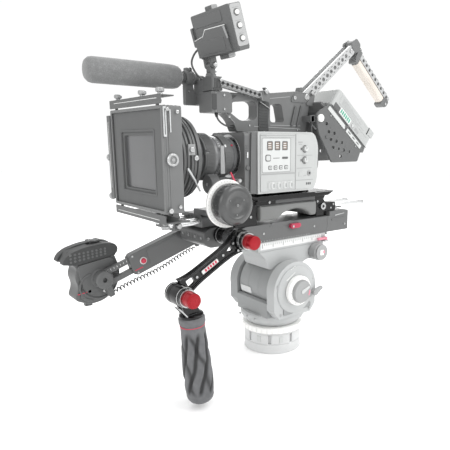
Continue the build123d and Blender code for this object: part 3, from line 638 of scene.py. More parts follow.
# Grey hard anodising and coated alloy of the rig's flat parts: satin, its pale edges partly rubbed and partly
# painted highlight.
surface("grey_anodised", "#5d5e5e", 0.42, 0.7, 0.03, tint=0.10, coat=0.1, edge_wear_and_highlight="#9a9c9c", edge=0.8)
surface("bracket_coat", "#5d5e5e", 0.46, 0.9, 0.05, tint=0.10, edge_wear_and_highlight="#a4a6a6", edge=0.7)
# Red anodised aluminium under a clear gloss.
surface("red_anodised", "#9a0316", 0.3, 0.9, 0.02, tint=0.22, metallic=0.45, coat=0.1)
surface("red_lever_anodised", "#b43450", 0.38, 0.8, 0.03, tint=0.12, coat=0.2)
surface("faded_red_nylon", "#d98a9a", 0.5, 0.8, 0.03, tint=0.08)
# The closed-cell foam rubber of the shoulder pad, and soft-touch mouldings.
surface("foam_rubber", "#777877", 0.78, 1.6, 0.25, tint=0.06, patch=30.0)
surface("soft_touch_black", "#3f4040", 0.6, 0.8, 0.06, tint=0.12)
# Magnesium castings under camera paint, with a 0.7 mm leather-like grain.
surface("camera_paint_pale", "#b4b6b5", 0.46, 0.7, 0.06, tint=0.05, edge_wear_and_highlight="#dfe0df", edge=0.6)
surface("camera_paint_dark", "#646565", 0.44, 0.7, 0.06, tint=0.10, edge_wear_and_highlight="#8d8f8f", edge=0.6)
# The matte box: carbon-filled moulding, flat outside and flocked nearly dead inside.
surface("hood_outside", "#6c6d6d", 0.50, 0.8, 0.06, tint=0.08, edge_wear_and_highlight="#a3a5a5", edge=0.7)
surface("panel_field", "#c8cac9", 0.46, 0.7, 0.03, tint=0.05)
surface("front_filter_glass", "#58595a", 0.22, 2.0, 0.004, tint=0.10, patch=60.0, coat=0.2)
surface("hood_flock", "#616262", 0.92, 0.9, 0.15, tint=0.06)
surface("flag_sheet", "#5a5b5b", 0.45, 0.9, 0.03, tint=0.08, edge_wear_and_highlight="#b7b9b9", edge=0.6)
# Lens coating: black satin over aluminium, ring rubber between.
surface("lens_coating", "#6b6c6d", 0.34, 0.8, 0.02, tint=0.3, patch=9.0, coat=0.3, edge_wear_and_highlight="#8b8d8f", edge=0.7)
surface("lens_rubber", "#5e5f5f", 0.58, 0.8, 0.06, tint=0.10)
# Glass-filled nylon of the top handle and the monitor's shell.
surface("handle_nylon", "#666767", 0.46, 0.9, 0.06, tint=0.12, edge_wear_and_highlight="#8f9191", edge=0.8)
surface("monitor_abs", "#5f6060", 0.48, 0.8, 0.06, tint=0.07, edge_wear_and_highlight="#7d7e7e", edge=0.6)
# Cable jackets: PVC, and the coiled lead's glossier polyurethane.
surface("pvc_jacket", "#505151", 0.50, 0.9, 0.03, tint=0.08)
surface("polyurethane_jacket", "#2b2b2c", 0.34, 0.9, 0.02, tint=0.10, coat=0.3)
# Screen-printed marks.
surface("pale_print", "#dcdddc", 0.5, 0.6, 0.01, tint=0.03)
surface("dark_print", "#575858", 0.5, 0.6, 0.01, tint=0.05)
surface("red_print", "#c23850", 0.5, 0.6, 0.01, tint=0.05)
# Drawn steel rods, turned aluminium collars and knobs, and clear anodised drilled plate.
brushed("ground_steel", "#eceded", 0.26, 1.2, (1.0, 0.04, 1.0))
brushed("turned_aluminium", "#b6b7b7", 0.28, 0.9, (0.08, 1.0, 1.0))
brushed("clear_anodised", "#c9cbcb", 0.42, 1.0, (1.0, 0.12, 0.12), metallic=0.75)
brushed("bright_knob", "#c4c5c5", 0.22, 0.9, (1.0, 1.0, 0.2), metallic=0.85)
# Satin rubber and glass, and the coats of the rails, drilled plates and panels.
surface("wheel_rubber", "#434444", 0.24, 0.8, 0.04, tint=0.35, patch=14.0, coat=0.45)
surface("filter_glass", "#686a6b", 0.08, 2.0, 0.002, tint=0.05, coat=0.6)
surface("rail_coat", "#8f9090", 0.4, 1.2, 0.03, tint=0.12, metallic=0.25)
surface("pale_anodised", "#b4b5b5", 0.38, 1.5, 0.03, tint=0.12, patch=12.0, metallic=0.35)
surface("arm_recess", "#777878", 0.5, 1.2, 0.03, tint=0.1)
surface("panel_strip", "#a4a5a5", 0.42, 1.0, 0.02, tint=0.06)
brushed("clear_knob", "#a8a9a9", 0.3, 0.9, (1.0, 1.0, 0.2), metallic=0.6)
surface("stage_rings", "#5c5d5d", 0.4, 0.8, 0.03, tint=0.12, edge_wear_and_highlight="#b4b6b6", edge=0.8)
surface("dark_screw", "#7d7e7e", 0.35, 0.6, 0.02, tint=0.1, metallic=0.6)
open_cell_foam()
fluted_rubber()
oiled_beech()
coated_glass()
lit_window("green_segment", "#57a58c", 0.1)
lit_window("amber_window", "#8c7f76", 0.05)


def coat_nodes(material, *names):
    """Gives CAD nodes that keep their shape their real finish."""
    for name in names:
        for slot in NODES[name].material_slots:
            slot.material = MATERIALS[material]


# ---------------------------------------------------------------- fluid head
PAN_Y, TILT_Z = 93.0, -318.0
PAN_BAR, TILT_LOCK, PLATFORM_LOCK = (200.0, -240.0), (152.0, -334.0), (57.0, 233.0)


def notched(radius, depth, width, count, y=PAN_Y):
    """The outline of a round with square notches."""
    points = []
    half = degrees(asin_of(width / 2, radius))
    for k in range(count):
        middle = 360 * k / count
        gap = 360 / count
        points += arc(0, y, radius, middle + half, middle + gap - half, max(2, 96 // count))
        points += [(cos(radians(a)) * (radius - depth), y + sin(radians(a)) * (radius - depth))
                   for a in (middle + gap - half, middle + gap + half)]
    return points


def asin_of(rise, reach):
    """The angle whose sine is rise over reach."""
    return atan2(rise, (reach * reach - rise * rise) ** 0.5)


def levelling_base():
    """The flat base: a slotted drum with a bolt circle and a thread underneath."""
    bolts = [circle(50 * cos(k * pi / 2), PAN_Y + 50 * sin(k * pi / 2), 3.3) for k in range(4)]
    foot = slab("Z", circle(0, PAN_Y, 76, 96), -492, -484, [circle(0, PAN_Y, 3.97)] + bolts)
    drum = slab("Z", notched(76, 7, 8, 8), -466, -441)
    lid = lathe("Z", 0, PAN_Y, [(0, -441), (76, -441), (76, -437), (66, -435.8), (60, -435.8),
                                (60, -420), (0, -420)], 96)
    lid_low = lathe("Z", 0, PAN_Y, [(4.1, -484.4), (76, -484.4), (76, -470), (73.5, -468.4), (73.5, -465.6),
                                    (4.1, -465.6)],
                    96, closed=True)
    spine = disc("Z", 0, PAN_Y, 19.9, -421, -396)
    piece("levelling_base", "head_base", [("powder_coat_low", [foot, drum, lid, lid_low, spine])], 1.0,
          ["flat_base"])
    clamps = [turned(box(70, 78, -5, 5, -462, -445), leaned((0, PAN_Y, 0), "Z", a)) for a in (-67.5, -22.5)]
    piece("base_pads", "head_base", [("pale_abs", clamps)], 1.2)


def pan_ring():
    """The white notched ring that clamps the pan."""
    band = slab("Z", notched(82, 3, 4.6, 36), -434, -422, [circle(0, PAN_Y, 60.1, 64)])
    lips = [ring("Z", 0, PAN_Y, 60.1, 80, -435.7, -433.8, 96),
            ring("Z", 0, PAN_Y, 60.1, 80, -422.2, -420.5, 96)]
    piece("pan_ring_teeth", "pan_ring", [("white_nylon", [band, *lips])], 0.5, ["pan_lock_ring"])


def cheek_outline(radius, low, half, corner):
    """The side outline of a cheek: a round top on a foot with sloping corners."""
    return (arc(PAN_Y, TILT_Z, radius, -8, 188, 40)
            + [(PAN_Y - radius + 1, low + corner), (PAN_Y - half, low), (PAN_Y + half, low),
               (PAN_Y + radius - 1, low + corner)])


def head_castings():
    """The turning housing: a bowl, two cheeks with round bosses, and the parting lines."""
    bowl = lathe("Z", 0, PAN_Y, [(20.1, -420), (66, -420), (73, -414), (83, -404), (86, -398), (86, -390),
                                 (82, -386.6), (20.1, -386.6)], 96, closed=True)
    near = slab("X", cheek_outline(72, -388, 54, 22), 62.1, 91)
    far = slab("X", cheek_outline(72, -388, 54, 22), -94, -62.1)
    bosses = [lathe("X", PAN_Y, TILT_Z, [(0, 90), (61, 90), (61, 93), (57, 95), (0, 95)], 72)]
    cradle = slab("X", [(22, -389), (164, -389), (164.6, -350), (156, -346)]
                  + arc(PAN_Y, TILT_Z, 67.2, -25.0, -155.0, 30) + [(30, -346), (21.4, -350)], -62.5, 62.5)
    # The far cheek and the cradle take the coat's darker copy, which is painted shade.
    piece("head_castings", "pan_stage", [("powder_coat_pale", [bowl, near, *bosses]),
                                         ("powder_coat_painted_shade", [far, cradle])], 4.0, ["head_housing"], 3, 35)
    # The two pads below the near boss take the coat's darker copy, which is painted shade.
    piece("cheek_trim", "pan_stage", [
        ("powder_coat_painted_shade", [
            slab("X", round_box(52, 84, -380, -354, 5), 90.5, 93.5),
            slab("X", round_box(112, 146, -374, -360, 4), 90.5, 92.6)]),
        ("pale_print", [row(7, (91.3, 58, -370), (0, 3.4, 0), (0.8, 1.2, 9)),
                        slab("X", bar((60, -288), (86, -272), 1.6, 1.0), 95, 95.5),
                        row(3, (95.2, 74, -262), (0, 6, 3), (0.6, 4, 1.4), (32, 0, 0))]),
        ("dark_print", [row(9, (95.2, 128, -352), (0, 2.8, 1.5), (0.6, 0.8, 3.2), (28, 0, 0))])], 0.4)
    piece("head_screws", "pan_stage", [("turned_aluminium", [
        screws((1, 0, 0), 3.4, 2.2, [(91, 44, -377), (91, 142, -377), (91, 34, -300), (91, 152, -300)]),
        screws((0, -1, 0), 3.0, 2.0, [(x, 7.5, -395) for x in (-30, 0, 30)])])])


def tilting_core():
    """The drum between the cheeks, its neck, the deck, its rails and the pan bar rosettes."""
    drum = lathe("X", PAN_Y, TILT_Z, [(0, -61.7), (60, -61.7), (66, -56), (66, 56), (60, 61.7), (0, 61.7)],
                 96)
    trunnion = disc("X", PAN_Y, TILT_Z, 24.9, -89, 89)
    neck = slab("X", smooth_outline([(40, -268), (30, -238), (8, -218), (238, -218), (222, -250),
                                     (200, -264), (178, -258), (150, -268)], 8), -48, 48)
    rings = [lathe("X", PAN_Y, TILT_Z, [(0, x), (66.6, x), (66.6, x + 3), (0, x + 3)], 96) for x in (-22, 18)]
    # The drum and its rings between the cheeks take the coat's darker copy, which is painted shade.
    piece("tilting_core", "tilt_stage", [("powder_coat_painted_shade", [drum, *rings]),
                                         ("powder_coat_pale", [trunnion, neck])], 2.0,
          ["tilt_platform"], 3)
    plate = box(-50, 50, 5, 240, -218, -204)
    rails = [slab("Y", [(38, -204), (50, -204), (50, -194.2), (41, -194.2)], 5, 240),
             slab("Y", [(-38, -204), (-50, -204), (-50, -194.2), (-41, -194.2)], 5, 240)]
    ear = [box(48, 63, 226, 240, -217.4, -212.3), disc("Z", *PLATFORM_LOCK, 2.45, -213, -203, 20)]
    piece("platform_deck", "tilt_stage", [("powder_coat_pale", [plate, *rails, *ear])], 1.2)
    piece("balance_scale", "tilt_stage", [
        ("pale_print", [box(50, 50.5, 12, 222, -213, -197)]),
        ("dark_print", [row(30, (50.6, 18, -200.5), (0, 6.8, 0), (0.4, 0.9, 5)),
                        row(6, (50.6, 18, -203.5), (0, 34, 0), (0.4, 1.2, 10))])])
    bosses = []
    for side in (-1, 1):
        inner, outer = sorted((side * 48, side * 74))
        face = side * 76
        bosses.append(lathe("X", *PAN_BAR, [(0, inner), (20, inner), (23, inner + 3), (23, outer - 3),
                                            (20, outer), (0, outer)], 64))
        bosses.append(teeth("X", *PAN_BAR, face - side * 1.2, 36, 16, (9, 1.5, 2.6)))
        bosses.append(disc("X", *PAN_BAR, 8, min(face, face + side * 2), max(face, face + side * 2)))
    bosses.append(lathe("X", *PAN_BAR, [(0, 76.5), (19.5, 76.5), (21, 77.2), (21, 78), (0, 78)], 56))
    piece("pan_bar_rosettes", "tilt_stage", [("grey_abs", bosses)], 0.5)
    piece("rosette_window", "tilt_stage", [("white_nylon",
                                            [slab("X", round_box(193, 206, -247, -233, 3), 78, 78.8)]),
                                           ("faded_red_nylon",
                                            [slab("X", round_box(203, 209, -243, -235, 2), 78.1, 79)])])
    piece("core_marks", "tilt_stage", [
        ("powder_coat_low", [turned(slab("Y", round_box(-52, -8, -9, 9, 3), -67.6, -66.2),
                                    leaned((0, PAN_Y, TILT_Z), "X", 12))]),
        ("pale_print", [turned(row(5, (-47, -67.8, -3), (8, 0, 0), (5, 0.6, 1.6)),
                               leaned((0, PAN_Y, TILT_Z), "X", 12))])],
          0.4)


def head_controls():
    """The dials and levers of the head."""
    scale = lathe("X", PAN_Y, TILT_Z, [(0, 95.4), (36, 95.4), (38, 97.4), (38, 107), (35, 110), (30, 110.6),
                                       (0, 110.6)], 72)
    grip = [lathe("X", PAN_Y, TILT_Z, [(0, 110), (29, 110), (29, 116), (26.5, 120), (22, 118.6), (0, 118.6)],
                  64)]
    grip.append(teeth("X", PAN_Y, TILT_Z, 113.6, 44, 28.8, (1.2, 2.2, 6.5)))
    numbers = teeth("X", PAN_Y, TILT_Z, 110.5, 12, 33.4, (3.2, 0.8, 0.7))
    piece("drag_dial", "drag_dial", [("white_nylon", [scale, disc("X", PAN_Y, TILT_Z, 7.9, 90.3, 96)]),
                                     ("grey_abs", grip), ("dark_print", [numbers])], 0.5, ["tilt_drag_dial"])
    piece("drag_dial_pointer", "drag_dial", [("pale_abs",
                                              [slab("X", bar((93, -318), (113, -309), 5, 3), 118.4, 120.2)]),
                                             ("faded_red_nylon",
                                              [slab("X",
                                                    arc(93, -318, 25, -32, 2, 8) + arc(93, -318, 21, 2, -32,
                                                                                       8), 118.6, 119.6)])],
          0.4)
    knob = lathe("X", PAN_Y, TILT_Z, [(0, -112), (38, -112), (43, -110), (45, -106), (45, -97), (43, -95.4),
                                      (0, -95.4)], 72)
    piece("counterbalance_knob", "balance_dial", [
        ("grey_abs", [knob, teeth("X", PAN_Y, TILT_Z, -102, 24, 45, (2, 6, 10)),
                      disc("X", PAN_Y, TILT_Z, 7.9, -96, -90.3)]),
        ("pale_print", [teeth("X", PAN_Y, TILT_Z, -112, 8, 30, (7, 1.0, 0.6))])], 0.8,
          ["counterbalance_dial"])
    hub = lathe("X", *TILT_LOCK, [(0, 95.4), (9, 95.4), (9, 106), (7.5, 107.8), (0, 107.8)], 40)
    arm = slab("X", bar(TILT_LOCK, (172, -325.4), 8, 5), 98.6, 106.4)
    piece("tilt_lock_arm", "tilt_lock", [("grey_abs", [hub, arm, disc("X", *TILT_LOCK, 3.9, 86, 96, 20)])],
          1.2,
          ["tilt_lock_lever"])
    hub = ring("Z", *PLATFORM_LOCK, 2.56, 6.2, -212, -204, 32)
    arm = slab("Z", [(61, 229), (60.5, 205), (57, 202.5), (53.5, 205), (53, 229)], -211, -205)
    piece("platform_lock_arm", "platform_lock", [("faded_red_nylon", [hub, arm])], 1.0,
          ["platform_lock_lever"])


levelling_base()
pan_ring()
head_castings()
tilting_core()
head_controls()


# ---------------------------------------------------------------- shoulder base
ROD_X, ROD_Z, ROD_R = 30.0, -126.0, 7.5
RELEASE, CLAMP_LEVER = (112.0, -162.0), (232.0, -122.0)


def adapter_plate():
    """The quick-release plate: a machined bar with a raised rear block and a scale."""
    side = smooth_outline([(-68, -193.9, 1.5), (330, -193.9, 1.5), (330, -140, 7), (324, -138, 3),
                           (255, -138, 3), (255, -150, 1), (-30, -150, 2), (-68, -160, 6)], 2, 3)
    bar_body = slab("X", side, -50, 50)
    foot = slab("Y", [(-37.9, -203.8), (37.9, -203.8), (35, -193.8), (-35, -193.8)], -20, 260)
    piece("adapter_plate_bar", "rig", [("grey_anodised", [bar_body, foot])], 1.4,
          ["tripod_adapter_plate"], 3)
    lugs = [slab("X", smooth_outline([(40, -158), (124, -158), (118, -148.5), (48, -148.5)], 3), 44, 51.2),
            slab("X", round_box(262, 318, -164, -158, 2.8), 50, 51.4),
            box(50, 50.6, 246, 248, -193, -152)]
    piece("adapter_plate_trim", "rig", [
        ("grey_anodised", lugs),
        ("turned_aluminium", [slab("X", bar((278, -150), (312, -147), 1.6, 1.0), 50, 50.8),
                              disc("X", *RELEASE, 2.95, 49, 61, 20)]),
        ("pale_print", [row(24, (50.3, -30, -191), (0, 9, 0), (0.5, 0.9, 3.4))])], 0.5)
    piece("adapter_plate_screws", "rig", [("turned_aluminium", [
        screws((1, 0, 0), 2.8, 1.4, [(50, -52, -172), (50, 22, -172), (50, 196, -172), (50, 316, -178)]),
        screws((0, 1, 0), 3.4, 1.6, [(x, 330, -166) for x in (-34, 0, 34)])])])
    hub = lathe("X", *RELEASE, [(3.1, 50.3), (7, 50.3), (7, 58.5), (5.5, 60), (3.1, 60)], 32, closed=True)
    tongue = slab("X", smooth_outline([(108, -168), (136, -168), (142, -162), (138, -156), (108, -156)], 3),
                  50.6, 58)
    ribs = row(4, (58.1, 122, -162), (0, 4, 0), (0.9, 1.6, 8))
    piece("release_tongue", "release_lever", [("red_lever_anodised", [hub, tongue, ribs])], 0.8,
          ["adapter_release_lever"])


def shoulder_plate():
    """The long gloss black plate with its wedge-shaped tail, front clamp wedge and dovetail."""
    top = slab("X", smooth_outline([(-3, -91, 1), (-3, -79, 2), (255, -79, 1), (255, -82, 1), (236, -91, 2)],
                                   2), -60, 60)
    rail = slab("X", smooth_outline([(0, -102), (0, -90.5), (236, -90.5), (230, -102)], 1.5), -50, 50)
    wedge = slab("X", smooth_outline([(-60, -150, 6), (-60, -112, 4), (-20, -90, 2), (5, -90, 1),
                                      (5, -150, 2)], 3),
                 -45, 45)
    dovetail = slab("Y", [(-35, -71.3), (-31, -79), (31, -79), (35, -71.3)], 10, 190)
    rims = [ring("Y", x, ROD_Z, ROD_R + 0.1, 11, -61.4, -59.5, 40) for x in (-ROD_X, ROD_X)]
    piece("shoulder_plate", "rig", [("black_anodised", [top, rail, wedge, dovetail, *rims])], 1.4,
          ["base_plate"], 3)
    piece("shoulder_plate_trim", "rig", [
        ("turned_aluminium", [screws((1, 0, 0), 3.2, 1.6,
                                     [(45, -40, -128), (45, -14, -128), (50, 40, -96.5)]),
                              screws((0, 0, 1), 3.0, 0.8,
                                     [(x, y, -79) for x in (-48, 48) for y in (210, 240)])]),
        ("dark_abs", [box(44, 50.4, 60, 196, -100.6, -92.6)]),
        ("turned_aluminium", [slab("X", [(186, -80.2), (252, -80.2), (252, -81.4), (186, -81.4)], 60,
                                   60.4)])])


def rear_clamp():
    """The rear foot: a split block round the rods with its lever and screws."""
    body = slab("X", smooth_outline([(205, -138, 3), (205, -102, 2), (238, -102, 2), (244, -112, 4),
                                     (285, -114, 4), (285, -138, 4)], 3), -42, 42)
    foot = slab("X", smooth_outline([(215, -150), (215, -137), (252, -137), (252, -150)], 2), -38, 38)
    rims = [ring("Y", x, ROD_Z, ROD_R + 0.1, 11.5, 283, 287, 40) for x in (-ROD_X, ROD_X)]
    piece("rear_clamp", "rig", [("black_anodised", [body, foot, *rims])], 1.2, ["rear_rod_block"], 3)
    hub = lathe("X", *CLAMP_LEVER, [(0, 42), (10, 42), (10, 47), (8.6, 49), (5, 49), (4, 47.6), (0, 47.6)],
                48)
    grip = slab("X", bar(CLAMP_LEVER, (262, -128), 5.4, 3.2), 43, 48)
    piece("rear_clamp_lever", "rig", [("turned_aluminium", [hub]), ("black_anodised", [grip]),
                                      ("turned_aluminium", [disc("X", 261, -128, 2.4, 47.5, 48.8, 20)])], 0.7)
    piece("rear_clamp_screws", "rig", [("turned_aluminium", [
        screws((1, 0, 0), 3.0, 1.6, [(42, 276, -120), (42, 214, -108)]),
        screws((0, 1, 0), 2.6, 1.2, [(0, 285, -126)])])])


def rods():
    """The ground steel rods, with chamfered ends and a threaded socket in each rear end."""
    shapes = []
    for x in (-ROD_X, ROD_X):
        for y0, y1 in ((-222, -6), (206, 413)):
            shapes.append(lathe("Y", x, ROD_Z, [(0, y0), (6.3, y0), (7.45, y0 + 1.4), (7.45, y1 - 1.4),
                                                (6.3, y1),
                                                (4.6, y1), (4.2, y1 - 9), (0, y1 - 9)], 40))
    piece("ground_rods", "rig", [("ground_steel", shapes)], 0, ["support_rods"])


def pad():
    """The shoulder pad: a moulded foam saddle, swollen at the sides and hollowed underneath."""
    shape = bmesh.new()
    lengths, widths, heights = 44, 20, 8
    grid = {}
    for i in range(lengths + 1):
        y = 9 + 190 * i / lengths
        low = -141.0
        if 68 < y < 179:
            low = -141 + 22.5 * sin(pi * (y - 68) / 111) ** 0.62
        swell = 1.6 * sin(pi * i / lengths)
        for j in range(widths + 1):
            across = -1 + 2 * j / widths
            for k in range(heights + 1):
                if 0 < i < lengths and 0 < j < widths and 0 < k < heights:
                    continue
                rise = k / heights
                pull = 1 - 0.05 * abs(2 * rise - 1) ** 4
                x = across * (54 * pull + swell * sin(pi * rise))
                sag = 1.6 * (1 - across * across) * (1 - rise)
                grid[i, j, k] = shape.verts.new((x, y, low + sag + (-102.4 - low - sag) * rise))
    sides = [(lambda a, b: (a, b, 0), lengths, widths), (lambda a, b: (a, b, heights), lengths, widths),
             (lambda a, b: (a, 0, b), lengths, heights), (lambda a, b: (a, widths, b), lengths, heights),
             (lambda a, b: (0, a, b), widths, heights), (lambda a, b: (lengths, a, b), widths, heights)]
    for at, first, second in sides:
        for a in range(first):
            for b in range(second):
                shape.faces.new([grid[at(a, b)], grid[at(a + 1, b)], grid[at(a + 1, b + 1)],
                                 grid[at(a, b + 1)]])
    bmesh.ops.recalc_face_normals(shape, faces=shape.faces)
    item = piece("shoulder_saddle", "rig", [("foam_rubber", [shape])], 3.6, ["shoulder_pad"], 3, 50)
    seam = [slab("X", [(14, -104.4), (194, -104.4), (194, -103.2), (14, -103.2)], side * 53.4 - 1.2,
                 side * 53.4 + 1.2)
            for side in (-1, 1)]
    piece("saddle_backing", "rig", [("soft_touch_black", seam)], 0.4)


adapter_plate()
shoulder_plate()
rear_clamp()
rods()
pad()


# ---------------------------------------------------------------- handles in front
NEAR_ROOT, NEAR_TIP = (-108.0, -157.0), (-268.0, -245.0)


def push_button(name, body, x, place, node):
    """A round red button with a domed face, a groove and a fine knurl at its root."""
    y, z = place
    cap = lathe("X", y, z, [(0, x), (15.4, x), (15.4, x + 12), (14.4, x + 12.8), (14.4, x + 13.8),
                            (15.4, x + 14.6), (15.4, x + 24.5), (14.2, x + 27), (11, x + 28), (0, x + 28)],
                64)
    dish = ring("X", y, z, 9.4, 10.4, x + 27.9, x + 28.3, 48)
    piece(name, body, [("red_anodised", [cap, dish])], 0.4, [node])


def toothed_face(x0, x1, place, radius):
    """A rosette: a round with fine radial teeth on its rim."""
    y, z = place
    middle, wide = (x0 + x1) / 2, abs(x1 - x0)
    return [disc("X", y, z, radius - 1.2, x0, x1, 64),
            teeth("X", y, z, middle, 60, radius - 1.0, (2.0, 1.2, wide))]


def front_bracket():
    """The clamp on the front rods, with a finned body, and the rosette posts of both handles."""
    clamp = slab("Y", smooth_outline([(-48, -142), (48, -142), (48, -118), (42, -110), (-42, -110),
                                      (-48, -118)], 4),
                 -108, -70, [circle(x, ROD_Z, ROD_R + 0.15, 32) for x in (-ROD_X, ROD_X)])
    body = slab("X", smooth_outline([(-150, -176, 5), (-150, -150, 5), (-132, -141.5, 4), (-70, -141.5, 3),
                                     (-70, -180, 5), (-84, -186, 4), (-134, -186, 5)], 4), -52, 52)
    near = [lathe("X", *NEAR_ROOT, [(0, 52), (18, 52), (18, 60), (16, 62), (16, 78), (18, 80), (18, 92),
                                    (0, 92)], 56)]
    near += toothed_face(92, 103.9, NEAR_ROOT, 22)
    far = [lathe("X", -86, -168, [(0, -66), (20, -66), (20, -54), (18, -52), (0, -52)], 56)]
    piece("front_bracket", "rig", [("grey_anodised", [clamp, body, *far]), ("black_anodised", near)], 1.2,
          ["handle_bracket"], 3)
    piece("front_bracket_screws", "rig", [
        ("turned_aluminium", [screws((1, 0, 0), 3.4, 2.0,
                                     [(52, -140, -164), (52, -82, -150), (48, -89, -126)]),
                              screws((0, -1, 0), 3.0, 1.6, [(x, -150, -163) for x in (-40, -14, 14, 40)]),
                              ring("X", *NEAR_ROOT, 17.8, 19.4, 62, 64.5, 56)]),
        ("grey_anodised", [row(5, (-24, -150.4, -163), (12, 0, 0), (3, 1.2, 14))])], 0.3)


def arm_side(near_side, offset, half):
    """One edge rail of the near arm, following its waist."""
    run = (Vector(NEAR_TIP) - Vector(NEAR_ROOT))
    length = run.length
    step = run.normalized()
    across = Vector((-step.y, step.x))
    line = []
    for k in range(25):
        t = k / 24
        reach = offset + 7.5 * (2 * t - 1) ** 4
        line.append((Vector(NEAR_ROOT) + step * (14 + (length - 30) * t), across * near_side * reach))
    outer = [tuple(p + q) for p, q in line]
    inner = [tuple(p + q * ((q.length - half * 2) / q.length)) for p, q in line]
    return outer + inner[::-1]


def near_arm():
    """The gloss black arm: an H section with raised edges, cut-outs by both joints and a rosette."""
    run = (Vector(NEAR_TIP) - Vector(NEAR_ROOT))
    step, across = run.normalized(), Vector((-run.normalized().y, run.normalized().x))

    def at(distance, offset):
        return tuple(Vector(NEAR_ROOT) + step * distance + across * offset)

    windows = [smooth_outline([at(30, -7.5), at(30, 7.5), at(47, 0)], 2.4, 3),
               smooth_outline([at(138, -7.5), at(138, 7.5), at(155, 8.5), at(155, -8.5)], 2.4, 3)]
    upper, lower = arm_side(1, 14, 1.9), arm_side(-1, 14, 1.9)
    web = upper[:25] + lower[:25][::-1]
    shapes = [slab("X", web, 126, 135, windows)]
    shapes += [slab("X", edge, 122, 140) for edge in (upper, lower)]
    shapes.append(lathe("X", *NEAR_ROOT, [(0, 116), (22, 116), (22, 138), (20, 141), (19, 150), (0, 150)],
                        72))
    shapes += toothed_face(104.1, 116, NEAR_ROOT, 22)
    shapes.append(lathe("X", *NEAR_TIP, [(6.1, 119), (18, 119), (21, 122), (21, 137), (20, 139.9),
                                         (6.1, 139.9)], 64, closed=True))
    shapes.append(disc("X", *NEAR_ROOT, 5.9, 80, 104, 24))
    shapes.append(lathe("X", *NEAR_ROOT, [(15.6, 149), (19, 149), (19, 158.6), (17.6, 160), (15.6, 160)], 64,
                        closed=True))
    piece("near_arm_beam", "near_arm_body", [("black_anodised", shapes)], 0.9, ["near_arm"], 3)
    collars = [ring("X", *NEAR_ROOT, 19.0, 20.0, 143, 150.5, 64),
               ring("X", *NEAR_ROOT, 15.7, 18.4, 158.8, 160.6, 64),
               ring("X", *NEAR_ROOT, 20.8, 22.2, 117, 119, 64),
               ring("X", *NEAR_TIP, 12, 17.6, 117.6, 119.4, 56),
               ring("X", *NEAR_TIP, 20.6, 21.3, 126, 128, 56)]
    piece("near_arm_collars", "near_arm_body", [("turned_aluminium", collars)], 0.3)
    piece("near_arm_screws", "near_arm_body", [("turned_aluminium", [
        screws((1, 0, 0), 2.6, 1.6, [(135, *at(56, 0)), (135, *at(130, 0)), (138, *at(21, 13)),
                                     (138, *at(24, -9))])])])
    bezel = [at(70, -6), at(70, 6), at(118, 6), at(118, -6)]
    plate = [at(72, -4.2), at(72, 4.2), at(116, 4.2), at(116, -4.2)]
    stripes = [slab("X", [at(a, -3), at(a, 3), at(a + 4.4, 3), at(a + 4.4, -3)], 137.0, 137.8)
               for a in (76, 83, 90, 97, 104)]
    piece("near_arm_badge", "near_arm_body", [("black_anodised",
                                               [slab("X", smooth_outline(bezel, 2), 135, 136.6)]),
                                              ("pale_print",
                                               [slab("X", smooth_outline(plate, 1.5), 136.5, 137.1)]),
                                              ("red_print", stripes)], 0.2)
    push_button("near_arm_push", "near_button", 156, NEAR_ROOT, "near_arm_button")


GRIP_TOP, GRIP_LEAN = (155.0, -249.0, -290.0), 4.86


def grip_radius(depth):
    """The rubber's radius at a depth below its top."""
    knots = [(0, 25.0), (3, 27.0), (12, 27.2), (15.5, 25.0), (20, 24.8), (45, 26.4), (70, 28.4), (100, 30.2),
             (125, 31.0), (150, 30.6), (166, 29.4), (171, 28.6), (175, 28.9), (181, 27.0), (186, 23.5),
             (188, 19)]
    for (d0, r0), (d1, r1) in zip(knots, knots[1:]):
        if depth <= d1:
            t = (depth - d0) / (d1 - d0)
            return r0 + (r1 - r0) * (t * t * (3 - 2 * t) if d1 < 24 else t)
    return 19.0


def flute(angle, depth):
    """How deep the slanting, wavy flutes cut at a place on the grip."""
    inside = max(0.0, min(1.0, (depth - 27) / 16)) * max(0.0, min(1.0, (168 - depth) / 12))
    sway = 0.55 * sin(depth / 21.0) + 0.25 * sin(depth / 9.0 + 2 * angle)
    first = sin(7 * angle + depth / 15.0 + sway)
    second = sin(5 * angle - depth / 24.0 + 1.3 * sway)
    cut = max(0.0, first) ** 1.8 * 3.4 + max(0.0, second) ** 2.4 * 2.2
    return inside * cut


def rubber():
    """The tapered rubber of the near grip, with its collar, thin red line, flutes and end rim."""
    steps, rows = 120, 150
    shape = bmesh.new()
    groove = shape.verts.layers.float.new("groove")
    levels = []
    for k in range(rows + 1):
        depth = 188 * k / rows
        ringed = []
        for m in range(steps):
            angle = 2 * pi * m / steps
            reach = grip_radius(depth) - flute(angle, depth)
            oval = 1 + 0.03 * cos(2 * angle)
            ringed.append(shape.verts.new((reach * cos(angle), reach * oval * sin(angle), -depth)))
            # The groove attribute holds how deep the flute cuts, for the painted shade in the rubber's
            # material.
            ringed[-1][groove] = min(1.0, flute(angle, depth) / 2.6)
        levels.append(ringed)
    for high, low in zip(levels, levels[1:]):
        for m in range(steps):
            n = (m + 1) % steps
            shape.faces.new((high[m], low[m], low[n], high[n]))
    shape.faces.new(levels[0])
    shape.faces.new(levels[-1][::-1])
    bmesh.ops.recalc_face_normals(shape, faces=shape.faces)
    place = leaned(GRIP_TOP, "X", GRIP_LEAN)
    line = lathe("Z", 0, 0, [(24, -19.4), (25.5, -19.0), (25.5, -17.8), (24, -17.4)], 64, closed=True)
    plug = lathe("Z", 0, 0, [(0, -187.6), (13, -187.6), (14, -189.2), (10, -190), (0, -190)], 48)
    piece("rubber_hand_grip", "near_grip", [("fluted_rubber", [turned(shape, place)]),
                                            ("red_print", [turned(line, place)]),
                                            ("black_anodised", [turned(plug, place)])], 0,
          ["rubber_grip"], angle=60)


